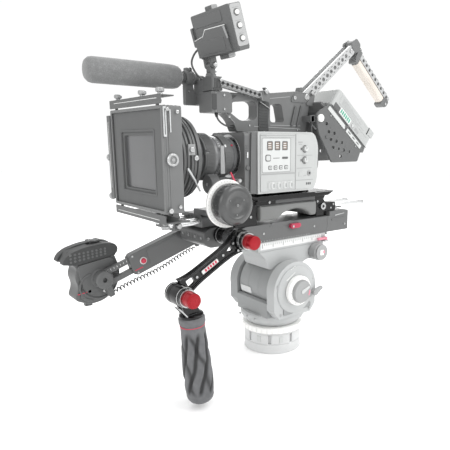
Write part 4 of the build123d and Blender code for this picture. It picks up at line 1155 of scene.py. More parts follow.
def near_grip():
    """The knuckle, its twin post with bright strips, the collar and the button."""
    y, z = NEAR_TIP
    knuckle = lathe("X", y, z, [(0, 140.1), (20, 140.1), (21, 142), (21, 164), (19.6, 168), (0, 168)], 72)
    posts = [slab("X", smooth_outline([(y - 17, z + 4), (y + 4, z + 4), (-238, -274), (-232, -291),
                                       (-268, -288), (-276, -262)], 5),
                  x, x + 9) for x in (142, 159)]
    posts.append(slab("X", smooth_outline([(y - 10, z), (y + 10, z), (-242, -290), (-262, -288)], 4), 150,
                      160))
    place = leaned(GRIP_TOP, "X", GRIP_LEAN)
    collar = turned(lathe("Z", 0, 0, [(0, 7), (21, 7), (24.6, 4.6), (24.6, -0.2), (0, -0.2)], 64), place)
    guide = lathe("X", y, z, [(15.6, 167), (19, 167), (19, 176.6), (17.6, 178), (15.6, 178)], 64, closed=True)
    piece("grip_knuckle", "near_grip", [("black_anodised", [knuckle, *posts, collar, guide,
                                                            disc("X", y, z, 5.9, 118, 141, 24)])], 1.0,
          ["grip_link"], 3)
    strips = [slab("X", bar((y - 15.6, z - 20), (-264.5, -287), 1.3, 1.3), x, x + 2.6)
              for x in (151.5, 168.0)]
    collars = [ring("X", y, z, 19.0, 20.2, 162, 168.6, 64), ring("X", y, z, 15.7, 18.4, 176.8, 178.6, 64)]
    piece("grip_knuckle_trim", "near_grip", [("turned_aluminium",
                                              [*strips, *collars,
                                               screws((0, -1, 0), 2.2, 1.4,
                                                      [(146.5, -277, -270), (163.5, -277, -270)])])], 0.3)
    push_button("grip_push", "knuckle_button", 174, NEAR_TIP, "grip_button")


# ---------------------------------------------------------------- far arm and remote grip
REMOTE_PIVOT = far_place(0, 262, 0)[1:]


def far_slab(outline, x0, x1):
    """A plate in the far arm's own directions, its outline given along the arm and above it."""
    shape = slab("X", [(-s, t) for s, t in outline], x0, x1)
    return turned(shape, leaned((0, *FAR_PIVOT), "X", degrees(FAR_SLOPE)))


def far_arm():
    """The flat housing of the telescopic arm, and the sliding twin bars with the swivel."""
    case = smooth_outline([(-14, -14, 12), (-14, 16, 12), (12, 26, 8), (188, 26, 3), (196, 20, 2),
                           (196, 6.6, 1),
                           (196, -6.6, 1), (196, -20, 2), (188, -26, 3), (8, -26, 10)], 3, 4)
    shapes = [far_slab(case, -69, -66.1), far_slab(case, -88, -84.2),
              far_slab([(0, 19.4), (12, 25.6), (188, 25.6), (195.6, 19.4)], -85, -68),
              far_slab([(0, -19.4), (8, -25.6), (188, -25.6), (195.6, -19.4)], -85, -68),
              far_slab([(-12, 6.6), (195.6, 6.6), (195.6, -6.6), (-12, -6.6)], -85, -68),
              far_slab([(-13, 14), (26, 22), (26, -22), (-13, -12)], -85, -68)]
    shapes.append(disc("X", *FAR_PIVOT, 5.9, -67, -51, 24))
    gland = turned(lathe("Z", 0, 0, [(0, 0), (6.6, 0), (6.6, 8), (5.4, 12), (0, 12)], 24),
                   leaned(far_place(-77, 16, -25), "X", 180 + degrees(FAR_SLOPE)))
    piece("far_arm_case", "far_arm_body", [("grey_anodised", [*shapes, gland])], 1.3, ["far_arm"], 3)
    piece("far_arm_trim", "far_arm_body", [("grey_anodised",
                                            [far_slab(smooth_outline([(20, -19), (20, 19), (150, 19),
                                                                      (150, -19)], 4), -66.2, -65.2)]),
                                           ("turned_aluminium",
                                            [screws((1, 0, 0), 2.4, 1.2,
                                                    [far_place(-66.1, s, t)
                                                     for s,
                                                     t in ((186, 21), (186, -21), (12, 19), (12, -19))])]),
                                           ("red_print",
                                            [far_slab([(170, -15), (192, -14), (192, -12), (172, -12)], -66.2,
                                                      -65.6)]),
                                           ("pale_print",
                                            [turned(ring("X", 0, 0, 6.2, 8.6, -66.2, -64.6, 40),
                                                    Matrix.Translation((0, *far_place(0, 165, 0)[1:])))])],
          0.3)
    y, z = far_place(0, 165, 0)[1:]
    cap = lathe("X", y, z, [(0, -73), (5.9, -73), (5.9, -61.6), (4.8, -60), (0, -60)], 32)
    piece("extension_push", "extension_lock", [("red_print", [cap])], 0.3, ["extension_lock_button"])
    bars = [far_slab(smooth_outline([(70, low), (70, low + 12), (252, low + 12), (252, low)], 2), -83, -71)
            for low in (7, -19)]
    y, z = REMOTE_PIVOT
    hub = lathe("X", y, z, [(5.1, -88), (18, -88), (20, -86), (20, -68), (18, -66.1), (5.1, -66.1)], 56,
                closed=True)
    nose = far_slab(smooth_outline([(252, -44), (252, -10), (266, -10), (266, -44)], 4), -84, -70)
    piece("sliding_bars", "far_slide", [("grey_anodised", [*bars, hub, nose])], 1.0, ["far_arm_slide"])
    piece("sliding_bar_scale", "far_slide", [("pale_print",
                                              [far_slab([(200 + 8 * k, 17.2), (201 + 8 * k, 17.2),
                                                         (201 + 8 * k, 13), (200 + 8 * k, 13)], -71, -70.7)
                                               for k in range(6)])])


def remote_grip():
    """The remote grip: finger-grooved body, padded palm rest with bumps, boss and controls."""
    body = smooth_outline([(-392, -214, 8), (-300, -199, 10), (-288, -235, 20), (-291, -262, 20),
                           (-304, -288, 20),
                           (-330, -305, 18), (-362, -309, 14), (-394, -294, 9), (-384, -267, 14),
                           (-391, -243, 12),
                           (-385, -224, 8)], 10, 6)
    shell = slab("X", body, -148, -94)
    spine = slab("X", smooth_outline([(-386, -216), (-306, -204), (-294, -240), (-308, -284), (-336, -300),
                                      (-366, -303), (-384, -290), (-376, -266), (-382, -243)], 9, 5), -151,
                 -90.5)
    piece("remote_shell", "remote", [("dark_abs", [shell, spine])], 5.0, ["remote_grip"], 4, 50)
    rest = smooth_outline([(-394, -213, 5), (-417, -209, 5), (-410, -195, 10), (-394, -184, 12),
                           (-362, -175, 16),
                           (-318, -172, 16), (-298, -176, 10), (-291, -186, 8), (-295, -200, 6)], 8, 6)
    hood = [slab("X", rest, -154, -131), slab("X", rest, -111, -88.6),
            slab("X", [(-392, -212), (-412, -207), (-398, -186), (-350, -176), (-350, -199), (-352, -208)],
                 -133, -109),
            slab("X", [(-322, -202), (-322, -174), (-300, -178), (-294, -188), (-298, -199)], -133, -109),
            slab("X", [(-392, -213), (-348, -187.5), (-322, -187.5), (-298, -200)], -133, -109)]
    piece("remote_palm_rest", "remote", [("soft_touch_black", hood)], 3.6, (), 4, 50)
    bumps = []
    for k in range(9):
        for m in range(3):
            y, z = -398 + 9.5 * k, -205 + 7.5 * m + 2.0 * k * (0.55 - 0.1 * m)
            bumps.append(lathe("X", y, z, [(0, -90), (3.2, -90), (2.6, -88.0), (0, -87.4)], 12))
    piece("remote_grip_bumps", "remote", [("dark_abs", bumps)])
    y, z = REMOTE_PIVOT
    boss = [lathe("X", y, z, [(5, -95), (24, -95), (24, -91.5), (21, -89.4), (16, -88.2), (5, -88.2)], 64,
                  closed=True),
            disc("X", y, z, 4.9, -95, -73, 24)]
    seam = [slab("X", bar((-388, -212), (-300, -201), 1.5, 1.5), -90.6, -88.8),
            slab("X", arc(-338, -252, 44, 190, 330, 30) + arc(-338, -252, 41, 330, 190, 30), -91, -89.4)]
    guard = slab("X", arc(-352, -268, 33, 100, 262, 24) + arc(-352, -268, 29, 262, 100, 24), -92, -88.9)
    piece("remote_boss", "remote", [("dark_abs", boss + [guard]), ("soft_touch_black", seam),
                                    ("dark_abs", [box(-128, -114, -366, -350, -318, -304)])], 0.8)
    dots = [lathe("X", y0, z0, [(0, -91), (4.4, -91), (4.4, -88.6), (3.4, -87.8), (0, -87.8)], 28)
            for y0, z0 in ((-316, -272), (-328, -281))]
    piece("remote_screws", "remote", [("turned_aluminium", dots)], 0.2)
    piece("remote_record_line", "remote", [("red_print", [slab("X", bar((-388, -280), (-369, -277.6), 0.8,
                                                                        1.1), -92, -90.0)])], 0.2)
    cap = lathe("X", -362, -277, [(0, -98), (4.9, -98), (4.9, -91.6), (3.8, -90.5), (0, -90.5)], 32)
    piece("record_key", "record_key", [("red_lever_anodised", [cap])], 0.3, ["remote_record_button"])
    paddle = slab("X", smooth_outline([(-350, -170.6), (-350, -167.4), (-343, -166), (-335, -168),
                                       (-327, -166),
                                       (-320, -167.4), (-320, -170.6)], 2, 4), -133.6, -108.4)
    stem = [box(-125, -117, -343, -327, -181, -170), disc("Y", -121, -180, 1.48, -350, -320, 16)]
    piece("rocker_paddle", "zoom_rocker", [("dark_abs", [paddle, *stem]),
                                           ("pale_print",
                                            [row(2, (-121, -345, -166.4), (0, 20, 0), (6, 1, 0.6))])], 0.8,
          ["remote_rocker"])


def coiled_lead():
    """The coiled lead under the far arm: a straight tail at each end and tight turns between."""
    line = line_of(CURLY_ROUTE)
    total = length_of(line)
    turns, steps = 26, 14                           # windings, and points round each
    radius, tail, jacket = 0.0046, 0.010, 1.4       # winding and tail in metres, jacket radius in mm
    places, walked = [], 0.0
    for a, b in zip(line, line[1:]):
        places.append((walked, a, (b - a).normalized()))
        walked += (b - a).length
    places.append((walked, line[-1], places[-1][2]))
    path = []
    for k in range(turns * steps + 1):
        reach = total * k / (turns * steps)
        index = max(n for n, (walk, _, _) in enumerate(places) if walk <= reach + 1e-9)
        walk, start, heading = places[min(index, len(places) - 2)]
        middle = start + heading * (reach - walk)
        side = heading.cross(Vector((1, 0, 0))).normalized()
        wind = radius * min(1.0, reach / tail, (total - reach) / tail)
        angle = 2 * pi * k / steps
        path.append(middle + (side * cos(angle) + heading.cross(side) * sin(angle)) * wind)
    item = curve_through("coiled_lead", path, jacket, 3, 3)
    item.data.materials.append(MATERIALS["polyurethane_jacket"])
    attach(item, "far_arm_body")
    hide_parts("curly_cord")


front_bracket()
near_arm()
rubber()
near_grip()
far_arm()
remote_grip()
coiled_lead()


# ---------------------------------------------------------------- camera body
def camera_shell():
    """The body: a rounded casting with a dark front, its side panel, vents and connectors."""
    outline = smooth_outline([(-13, -71.2, 1), (168, -71.2, 9), (179, -45, 18), (182, 40, 22),
                              (167, 71.2, 20),
                              (-13, 71.2, 1)], 6, 8)
    piece("camera_shell", "rig", [("camera_paint_pale", [slab("X", outline, -73, 73)])], 4.0, ["main_shell"],
          4, 35)
    front = slab("Y", smooth_outline([(-66, -69), (66, -69), (66, 69), (-66, 69)], 9, 5), -46, -0.5,
                 [circle(0, LENS_Z, 31, 48)])
    step = slab("X", smooth_outline([(-34, -69.6), (-12, -69.6), (-12, 70.2), (-28, 70.2)], 3), -69.5, 69.5)
    throat = lathe("Y", 0, LENS_Z, [(41, -46.5), (50, -46.5), (50, -45), (31, -45), (31, -40), (41, -40)], 72,
                   closed=True)
    piece("camera_front", "rig", [("camera_paint_dark", [front, step]), ("turned_aluminium", [throat])], 3.0,
          ["front_housing"], 3, 35)
    trim = [slab("X", [(-33, -66), (-32, -66), (-29, 66), (-30, 66)], 65.8, 69.9),
            row(6, (66.2, -40, 40), (0, 0, -5.5), (1.4, 7, 2.2)),
            lathe("X", -38, -10, [(0, 66), (6, 66), (6, 68), (4.6, 69.2), (0, 69.2)], 32)]
    piece("camera_front_trim", "rig", [("dark_abs", trim),
                                       ("pale_print",
                                        [slab("X", bar((-38, 14), (-38, 24), 1.6, 1.6), 66, 67.2)]),
                                       ("turned_aluminium",
                                        [screws((1, 0, 0), 2.2, 1.2, [(69.5, -12, 60), (69.5, -12, -60)])])],
          0.4)


LENS_Z = 15.0


def side_panel():
    """The operator's panel: framed windows, keys, barrel switches and sockets, without lettering."""
    left = slab("X", smooth_outline([(-7, -66, 3), (101, -66, 2), (101, 66, 2), (-7, 66, 3)], 2), 73, 75.4)
    right = slab("X", smooth_outline([(103, -66, 2), (154, -66, 10), (163, -40, 14), (164, 40, 18),
                                      (154, 66, 14), (103, 66, 2)], 2), 73, 75.8)
    frame_rim = slab("X", round_box(-4, 86, -23, 58, 3), 75, 76.2, [round_box(-1.5, 83.5, -20.5, 55.5, 2.5)])
    lower = slab("X", round_box(14, 98, -63, -44, 3), 75.2, 76.6)
    top_bar = slab("X", round_box(8, 98, 58.5, 64.5, 2), 75.2, 76.4)
    piece("operator_panel", "rig", [("camera_paint_pale", [left, right, frame_rim, lower, top_bar])], 0.8,
          ["control_panel"], 2)
    inset = slab("X", round_box(-2, 84, -21, 56, 2.5), 75.3, 75.7)
    outline = [slab("X", round_box(-3.4, 85.4, -22.4, 57.4, 3), 76.1, 76.5,
                    [round_box(-2.4, 84.4, -21.4, 56.4, 2.4)])]
    piece("panel_outline", "rig", [("grey_abs", outline)])
    piece("panel_inset", "rig", [("panel_field", [inset])])
    windows, bezels, marks = [], [], []
    for y in (20, 43, 66.5):
        bezels.append(slab("X", round_box(y - 8, y + 8, 29, 49.5, 2), 75.5, 76.6,
                           [round_box(y - 6.4, y + 6.4, 30.6, 48, 1.2)]))
        windows.append(slab("X", round_box(y - 6.4, y + 6.4, 30.6, 48, 1.2), 75.5, 76.0))
        marks.append(row(3, (76.1, y - 0.5, 34.5), (0, 0, 5.0), (0.4, 8.5, 1.6)))
    piece("panel_windows", "rig", [("amber_window", windows), ("dark_print", bezels), ("pale_print", marks)])
    key = slab("X", round_box(6.6, 22.6, 3.5, 19, 4), 75.4, 76.2, [round_box(8.4, 20.8, 5.2, 17.3, 3)])
    face = slab("X", round_box(8.6, 20.6, 5.4, 17.1, 3), 75.4, 77.0)
    small = [slab("X", round_box(y - 5.6, y + 5.6, -16, -6.5, 2), 75.4, 76.0) for y in (21, 37.5, 54, 71)]
    caps = [slab("X", round_box(y - 4, y + 4, -14.6, -8, 1.6), 75.4, 77.0) for y in (21, 37.5, 54, 71)]
    piece("panel_keys", "rig", [("dark_print", [key, *small]), ("pale_abs", [face, *caps]),
                                ("dark_print", [row(4, (77.1, 21, -11.3), (0, 16.65, 0), (0.4, 4.6, 1.4)),
                                                slab("X", round_box(58, 76, 8.5, 13.5, 2), 75.4, 76.4),
                                                slab("X", round_box(30, 50, 10, 11.4, 0.6), 75.4, 75.9)])],
          0.3)
    barrels, slots = [], []
    for y in (27, 46, 65, 84):
        barrels.append(turned(lathe("Z", 0, 0, [(0, -7.4), (4.6, -7.4), (5.6, -6), (5.6, 6), (4.6, 7.4),
                                                (0, 7.4)], 28),
                              Matrix.Translation((75.2, y - 1, -53.5))))
        slots.append(slab("X", round_box(y - 8.2, y + 6.6, -62, -45, 2.4), 76.2, 76.9))
        slots.append(box(80.2, 81.0, y + 1.2, y + 2.6, -58, -49))
    piece("barrel_switches", "rig", [("pale_abs", barrels), ("panel_field", slots[0::2]),
                                     ("dark_print", slots[1::2])], 0.3)
    lines = [slab("X", round_box(*edges), low, high) for edges, low, high in (
        ((106, 158, 15, 16.2, 0.4), 75.7, 76.1), ((106, 156, -16, -14.6, 0.4), 75.7, 76.1),
        ((104, 162, -45.4, -43.8, 0.4), 75.7, 76.1), ((-5, 99, -27.4, -25, 0.5), 75.3, 76.0),
        ((-6, 99, 62, 63.6, 0.5), 75.3, 76.6), ((101.2, 102.8, -66, 66, 0.4), 74, 75.9),
        ((110, 124, 46, 48.4, 0.6), 75.7, 76.1), ((112, 122, 41.4, 42.6, 0.4), 75.7, 76.1),
        ((128, 138, -35, -33.6, 0.4), 75.7, 76.1))]
    marks = [slab("X", round_box(118, 121.6, z - 3, z + 3, 1), 75.7, 76.4) for z in (4, 31)]
    marks += [slab("X", round_box(138 + 6 * k, 142 + 6 * k, -57, -51, 1), 75.7, 76.2) for k in range(3)]
    marks += [row(3, (66.8, 1.5, z), (0, 0, 6.5), (14.4, 3.4, 2.4)) for z in (30, -18)]
    piece("panel_printing", "rig", [("grey_abs", lines), ("dark_print", marks)])
    socket = lathe("X", 147.7, -28.4, [(3.4, 75.6), (6.4, 75.6), (6.4, 77.4), (5.4, 78), (3.4, 78)], 36,
                   closed=True)
    well = disc("X", 147.7, -28.4, 3.4, 75.5, 76.3, 24)
    latch = slab("X", round_box(112, 128, -36, -24, 3), 75.6, 76.8)
    piece("panel_socket", "rig", [("grey_abs", [socket]), ("dark_print", [well]),
                                  ("camera_paint_pale", [latch])], 0.3)
    for name, body, node, z in (("audio_dial_top", "upper_dial", "audio_dial_upper", 31),
                                ("audio_dial_low", "lower_dial", "audio_dial_lower", 4)):
        knob = lathe("X", 132, z, [(0, 76.2), (6.3, 76.2), (6.3, 81.6), (5.2, 83), (0, 83)], 40)
        grip = teeth("X", 132, z, 79, 20, 6.3, (0.7, 0.9, 4.2))
        mark = slab("X", bar((132, z), (132, z + 4.6), 0.7, 0.7), 82.8, 83.4)
        piece(name, body, [("pale_abs", [knob, disc("X", 132, z, 1.95, 67, 76.4, 16)]), ("grey_abs", [grip]),
                           ("dark_print", [mark])], 0.3, [node])
        piece(name + "_ring", "rig", [("dark_print", [ring("X", 132, z, 7.4, 9.0, 75.7, 76.3, 40)])])


def camera_other_sides():
    """The far side's vents, the rear connectors and the rails on the top."""
    vents = row(9, (-73.2, 96, -48), (0, 0, 7), (1.6, 44, 2.6))
    grid = slab("X", round_box(70, 122, -56, 16, 5), -74.4, -73, [round_box(73, 119, -53, 13, 3)])
    strap = slab("X", smooth_outline([(20, -60), (64, -60), (64, 56), (20, 56)], 10, 6), -78, -72)
    door = slab("X", round_box(126, 166, -50, 50, 6), -74.6, -73)
    piece("far_side_cover", "rig", [("camera_paint_dark", [grid, door]),
                                    ("soft_touch_black", [strap, vents])], 1.0)
    plate = slab("Y", round_box(-56, 56, -52, 52, 6), 178, 183.4)
    piece("rear_plate", "rig", [("camera_paint_dark", [plate])], 1.2)
    rims, wells, pins = [], [], []
    for x, z, r in ((-36, 30, 11), (-36, 2, 11), (44, -38, 6), (10, -30, 6), (-10, -30, 6)):
        rims.append(lathe("Y", x, z, [(r - 2, 182), (r, 182), (r, 186.4), (r - 2, 186.4)], 40, closed=True))
        wells.append(disc("Y", x, z, r - 2, 182, 184, 32))
        if r == 11:
            pins += [disc("Y", x + 4 * cos(a), z + 4 * sin(a), 1.1, 183, 186, 12) for a in (0.5, 2.6, 4.7)]
    piece("rear_sockets", "rig", [("turned_aluminium", rims + pins), ("soft_touch_black", wells)], 0.4)
    doors = [slab("Y", round_box(-4, 44, 4, 44, 4), 182.6, 184.6),
             slab("Y", round_box(-54, -30, -48, -16, 4), 182.6, 184.6)]
    piece("rear_doors", "rig", [("camera_paint_pale", doors)], 0.8)
    top = [box(-30, 30, 34, 60, 70, 72.4), box(-60, -34, 20, 150, 70.4, 72.6)]
    piece("top_plates", "rig", [("camera_paint_dark", top), ("turned_aluminium", [
        screws((0, 0, 1), 2.2, 1.2, [(x, y, 71.2) for x in (-62, 62) for y in (14, 150)])])], 0.6)
    coat_nodes("dark_abs", "cooling_fan")
    coat_nodes("bracket_coat", "sensor_board")


camera_shell()
side_panel()
camera_other_sides()


# ---------------------------------------------------------------- lens and follow focus
DRIVE_GEAR, HAND_WHEEL = (48.5, -42.8), (-132.0, -79.0)


def lens():
    """The lens: a stepped barrel with grooves, a scale, toothed rings and glass."""
    z = LENS_Z
    barrel = lathe("Y", 0, z, [(34.1, -162), (50.5, -162), (52, -160.5), (52, -152), (50.5, -150.4),
                               (44, -149),
                               (43.9, -111), (46, -110), (46, -104), (44.6, -103.4), (44.6, -101.4),
                               (46, -100.8),
                               (46, -91), (43.9, -90), (43.9, -65), (42, -64), (42, -58), (44, -57),
                               (44, -50.5),
                               (40, -50), (40, -46.2), (34.1, -46.2)], 96, closed=True)
    hood_lip = ring("Y", 0, z, 49, 50.4, -163.4, -161.5, 80)
    piece("lens_barrel_tube", "rig", [("lens_coating", [barrel, hood_lip])], 0.5, ["lens_barrel"], 2, 25)
    ticks = []
    for k in range(22):
        wide = 4.6 if k % 4 == 0 else 2.6
        tick = box(45.9, 46.25, -96 - wide / 2, -96 + wide / 2, -0.35, 0.35)
        ticks.append(turned(tick, leaned((0, 0, z), "Y", -70 + 7.5 * k)))
    piece("lens_scale_marks", "rig", [("pale_print", ticks)])
    plate = slab("X", smooth_outline([(-99, -22), (-87, -22), (-88.5, 40), (-98, 40)], 2.5), 44.6, 47.6)
    dot = turned(box(41.8, 44.9, -63.4, -57.4, -1.4, 1.4), leaned((0, 0, z), "Y", -36))
    lever = slab("X", bar((-76, -20), (-64, -45), 1.8, 2.8), 52, 55.6)
    stalk = disc("Y", 52.5, -36, 2.2, -72, -45, 20)
    cap = lathe("X", -53, -39, [(0, 50), (4.6, 50), (4.6, 58), (3.4, 59.6), (0, 59.6)], 28)
    piece("lens_trim", "rig", [("grey_abs", [plate]), ("red_print", [dot, lever]), ("dark_abs", [stalk]),
                               ("pale_abs", [cap])], 0.5)
    glass = []
    for y, swell in ((-154, -5.5), (-104, 3.0), (-57, 2.0)):
        profile = [(34 * k / 10, y + swell * (1 - (k / 10) ** 2)) for k in range(11)]
        profile += [(34, y + 5), (0, y + 5)]
        glass.append(lathe("Y", 0, z, profile, 64))
    piece("lens_glass", "rig", [("coated_glass", glass)], 0, ["lens_elements"], angle=30)
    rubber_ring = lathe("Y", 0, z, [(44.1, -139.9), (50.4, -139.9), (51.6, -138.6), (51.6, -113.2),
                                    (50.4, -112.1), (44.1, -112.1)], 96, closed=True)
    gear = teeth("Y", 0, z, -125.5, 110, 51.9, (1.7, 1.3, 21))
    knob = [lathe("X", -134, 24, [(0, 46), (8.6, 46), (8.6, 49.2), (7.6, 50.2), (0, 50.2)], 40)]
    hub = lathe("X", -134, 24, [(0, 50), (3.4, 50), (3.0, 50.8), (0, 50.8)], 28)
    piece("focus_ring_teeth", "focus_barrel", [("lens_rubber", [rubber_ring, gear]),
                                               ("soft_touch_black", knob),
                                               ("grey_abs", [hub])], 0.25, ["focus_ring"])
    band = lathe("Y", 0, z, [(44.1, -85.9), (47.6, -85.9), (48.4, -85), (48.4, -67), (47.6, -66.1),
                             (44.1, -66.1)], 96, closed=True)
    ribs = teeth("Y", 0, z, -76, 84, 48.3, (1.6, 1.7, 13))
    tag = turned(box(47.4, 49.4, -84, -80, -3, 3), leaned((0, 0, z), "Y", -30))
    piece("iris_ring_ribs", "iris_barrel", [("lens_rubber", [band, ribs]), ("pale_print", [tag])], 0.25,
          ["iris_ring"])


def follow_focus():
    """The follow focus: rod clamp, gearbox, gear carrier, drive gear, and the wheel with its white disc."""
    clamp = slab("Y", smooth_outline([(-45, -139), (45, -139), (45, -116), (38, -110), (-38, -110),
                                      (-45, -116)], 4),
                 -150, -113, [circle(x, ROD_Z, ROD_R + 0.15, 32) for x in (-ROD_X, ROD_X)])
    deck = slab("Y", smooth_outline([(10, -110.4), (96, -110.4), (104, -104), (104, -98), (10, -98)], 2),
                -150, -105)
    gearbox = slab("X", smooth_outline([(-150, -98.5), (-114, -98.5), (-114, -70), (-120, -66), (-144, -66),
                                        (-150, -72)], 4),
                   64, 103.9)
    post = slab("X", smooth_outline([(-113, -98.5), (-105, -98.5), (-105, -38), (-113, -38)], 2), 40, 57)
    eye = disc("Y", *DRIVE_GEAR, 8.4, -112.9, -105, 36)
    spindle = disc("Y", *DRIVE_GEAR, 3.9, -137, -110, 24)
    piece("follow_focus_frame", "rig", [("grey_anodised", [clamp, deck, gearbox, post, eye]),
                                        ("turned_aluminium", [spindle])], 1.0, ["follow_focus_body"], 3)
    piece("follow_focus_screws", "rig", [("dark_screw", [
        screws((0, -1, 0), 2.8, 1.6, [(x, -150, -118) for x in (-16, 0, 16)]),
        *[screws((0, -1, 0), 2.2, 1.4, [(x, -150, z) for x in (70, 98)]) for z in (-92, -72)],
        lathe("X", -131, -124, [(0, -58), (8, -58), (8, -50), (5, -48), (5, -45), (0, -45)], 32)])])
    gear = [lathe("Y", *DRIVE_GEAR, [(4.1, -136), (19.6, -136), (19.6, -115), (4.1, -115)], 48, closed=True),
            teeth("Y", *DRIVE_GEAR, -125.5, 46, 20.0, (2.2, 1.2, 20))]
    piece("drive_gear_teeth", "drive_gear", [("grey_anodised", gear)], 0.2, ["focus_drive_gear"])
    y, z = HAND_WHEEL
    white = lathe("X", y, z, [(0, 112.2), (49.5, 112.2), (51, 113.4), (51, 118.4), (49.5, 119.6), (0, 119.6)],
                  96)
    axle = disc("X", y, z, 5.9, 80, 113, 24)
    wheel = lathe("X", y, z, [(0, 119), (41, 119), (43, 121.5), (43.6, 128), (43.6, 146), (42, 151.5),
                              (38, 155), (31, 156.2),
                              (27, 155.2), (24, 153.4), (18, 152.8), (12, 153.4), (7, 155.2), (0, 155.6)], 96)
    grip = teeth("X", y, z, 136, 30, 43.2, (1.4, 3.0, 20))
    crank = lathe("X", y, z, [(0, 154), (3, 154), (3, 156.4), (2.2, 157), (0, 157)], 28)
    marks = teeth("X", y, z, 119.5, 40, 47.2, (3.2, 0.55, 0.5))
    piece("hand_wheel_disc", "hand_wheel", [("white_nylon", [white]), ("dark_screw", [axle, crank]),
                                            ("wheel_rubber", [wheel, grip]), ("grey_abs", [marks]),
                                            ("dark_screw",
                                             [screws((1, 0, 0), 1.8, 0.8,
                                                     [(153, y + 20 * cos(a), z + 20 * sin(a))
                                                      for a in (0.5, 2.6, 4.7)])])],
          0.4, ["focus_wheel"])


# ---------------------------------------------------------------- matte box
HOOD_X, HOOD_LOW, HOOD_HIGH = 120.0, -89.0, 115.5
HINGE_Y, HINGE_MIDDLE = -272.0, (HOOD_LOW + HOOD_HIGH) / 2


def frame_of(half, low, high, rim, y0, y1, corner=3.0):
    """A rectangular frame across the view: its outer half width, bottom, top and rim width."""
    return slab("Y", round_box(-half, half, low, high, corner), y0, y1,
                [round_box(-half + rim, half - rim, low + rim, high - rim, max(0.6, corner - rim))])


def hood():
    """The open hood: a thin-walled box with a rolled lip, stepped flocked frames and side rails."""
    walls = [frame_of(HOOD_X, HOOD_LOW, HOOD_HIGH, 2.4, -275, -236),
             frame_of(HOOD_X, HOOD_LOW, HOOD_HIGH, 6, -277, -273.6, 4)]
    back = slab("Y", round_box(-HOOD_X + 1, HOOD_X - 1, HOOD_LOW + 1, HOOD_HIGH - 1, 3), -238, -235,
                [round_box(-70, 70, -55, 85, 1)])
    stalks = []
    for side in (-1, 1):
        for low, high in ((HOOD_HIGH, HOOD_HIGH + 9), (HOOD_LOW - 9, HOOD_LOW)):
            stalks.append(box(side * 95 - 3, side * 95 + 3, -274.5, -269.5, low - 1, high + 1))
            stalks.append(disc("X", HINGE_Y, high if high > 0 else low, 2.4, side * 95 - 9, side * 95 + 9,
                               20))
        stalks.append(box(-130, -119, -274.5, -269.5, HINGE_MIDDLE + side * 78 - 3,
                          HINGE_MIDDLE + side * 78 + 3))
        stalks.append(disc("Z", -129, HINGE_Y, 2.4, HINGE_MIDDLE + side * 78 - 9,
                           HINGE_MIDDLE + side * 78 + 9, 20))
    piece("hood_shell", "rig", [("hood_outside", [*walls, back]), ("grey_anodised", stalks)], 0.9,
          ["matte_box_hood"])
    lining = [frame_of(117.4, -86.4, 112.9, 1.0, -273, -237.5, 2),
              frame_of(117, -86, 112.5, 3, -268, -266.4, 3)]
    mask = slab("Y", round_box(-117.4, 117.4, -86.4, 112.9, 2), -272.4, -269.4,
                [round_box(-76, 74, -53, 68, 3)])
    lip = slab("Y", round_box(-81, 79, -58, 73, 4), -273.4, -271.6, [round_box(-77, 75, -54, 69, 3)])
    piece("hood_lining", "rig", [("hood_flock", [*lining, mask, lip])], 0.4)
    tray = slab("Y", round_box(-92, 90, -68, 84, 3), -269.4, -262, [round_box(-70, 68, -48, 62, 6)])
    front_pane = slab("Y", round_box(-86, 84, -62, 78, 3), -264.6, -262.4)
    piece("front_filter_tray", "rig", [("hood_flock", [tray]), ("front_filter_glass", [front_pane])], 0.5)
    ribs = [slab("X", round_box(-270 + 5 * k, -268 + 5 * k, -78, 104, 1), low, low + 1.3)
            for low in (119.6, -120.9) for k in range(2)]
    top_ribs = [slab("Z", round_box(-110, 110, -266 + 8 * k, -263.6 + 8 * k, 1), 115, 116.6)
                for k in range(4)]
    piece("hood_ribs", "rig", [("hood_outside", [*ribs, *top_ribs])], 0.4)
    rail = [slab("X", round_box(-275.6, -269.6, 58, 113, 1.5), 120.6, 123.6),
            slab("X", round_box(-262, -259.4, 66, 108, 1), 120.6, 122.2)]
    piece("hood_rails", "rig", [("clear_anodised", rail),
                                ("dark_abs", [slab("X", round_box(-273.6, -271.8, 62, 109, 0.6), 123.5,
                                                   123.8)])], 0.4)
    knob = lathe("X", -259, 15, [(7, 120.5), (12.6, 120.5), (12.6, 124.6), (11.2, 126.2), (8.2, 126.2),
                                 (7, 124.4)], 48, closed=True)
    heart = lathe("X", -259, 15, [(0, 120.5), (7.2, 120.5), (7.2, 122.6), (4.4, 122.6), (3.6, 125.4),
                                  (0, 125.4)], 32)
    piece("hood_clamp_knob", "rig", [("bright_knob",
                                      [knob, teeth("X", -259, 15, 123, 28, 12.5, (0.9, 1.3, 3.4))]),
                                     ("grey_abs", [heart])], 0.4)
    knobs = [knob_at("X", (120.5, -267.5, -82), 5.0, 7), knob_at("X", (120.5, -246, 104), 3.6, 4),
             knob_at("X", (120.5, -246, -76), 3.6, 4), knob_at("X", (120.5, -268, 108), 3.8, 7)]
    piece("hood_small_knobs", "rig", [("bright_knob", knobs)], 0.3)


def knob_at(axis, place, radius, height):
    """A small turned knob standing on a face, with a waist and a domed head."""
    spot_axis = "XYZ".index(axis)
    base = place[spot_axis]
    u, v = [p for k, p in enumerate(place) if k != spot_axis]
    return lathe(axis, u, v, [(0, base), (radius * 0.7, base), (radius * 0.55, base + height * 0.3),
                              (radius, base + height * 0.42), (radius, base + height * 0.85),
                              (radius * 0.8, base + height), (0, base + height)], 28)


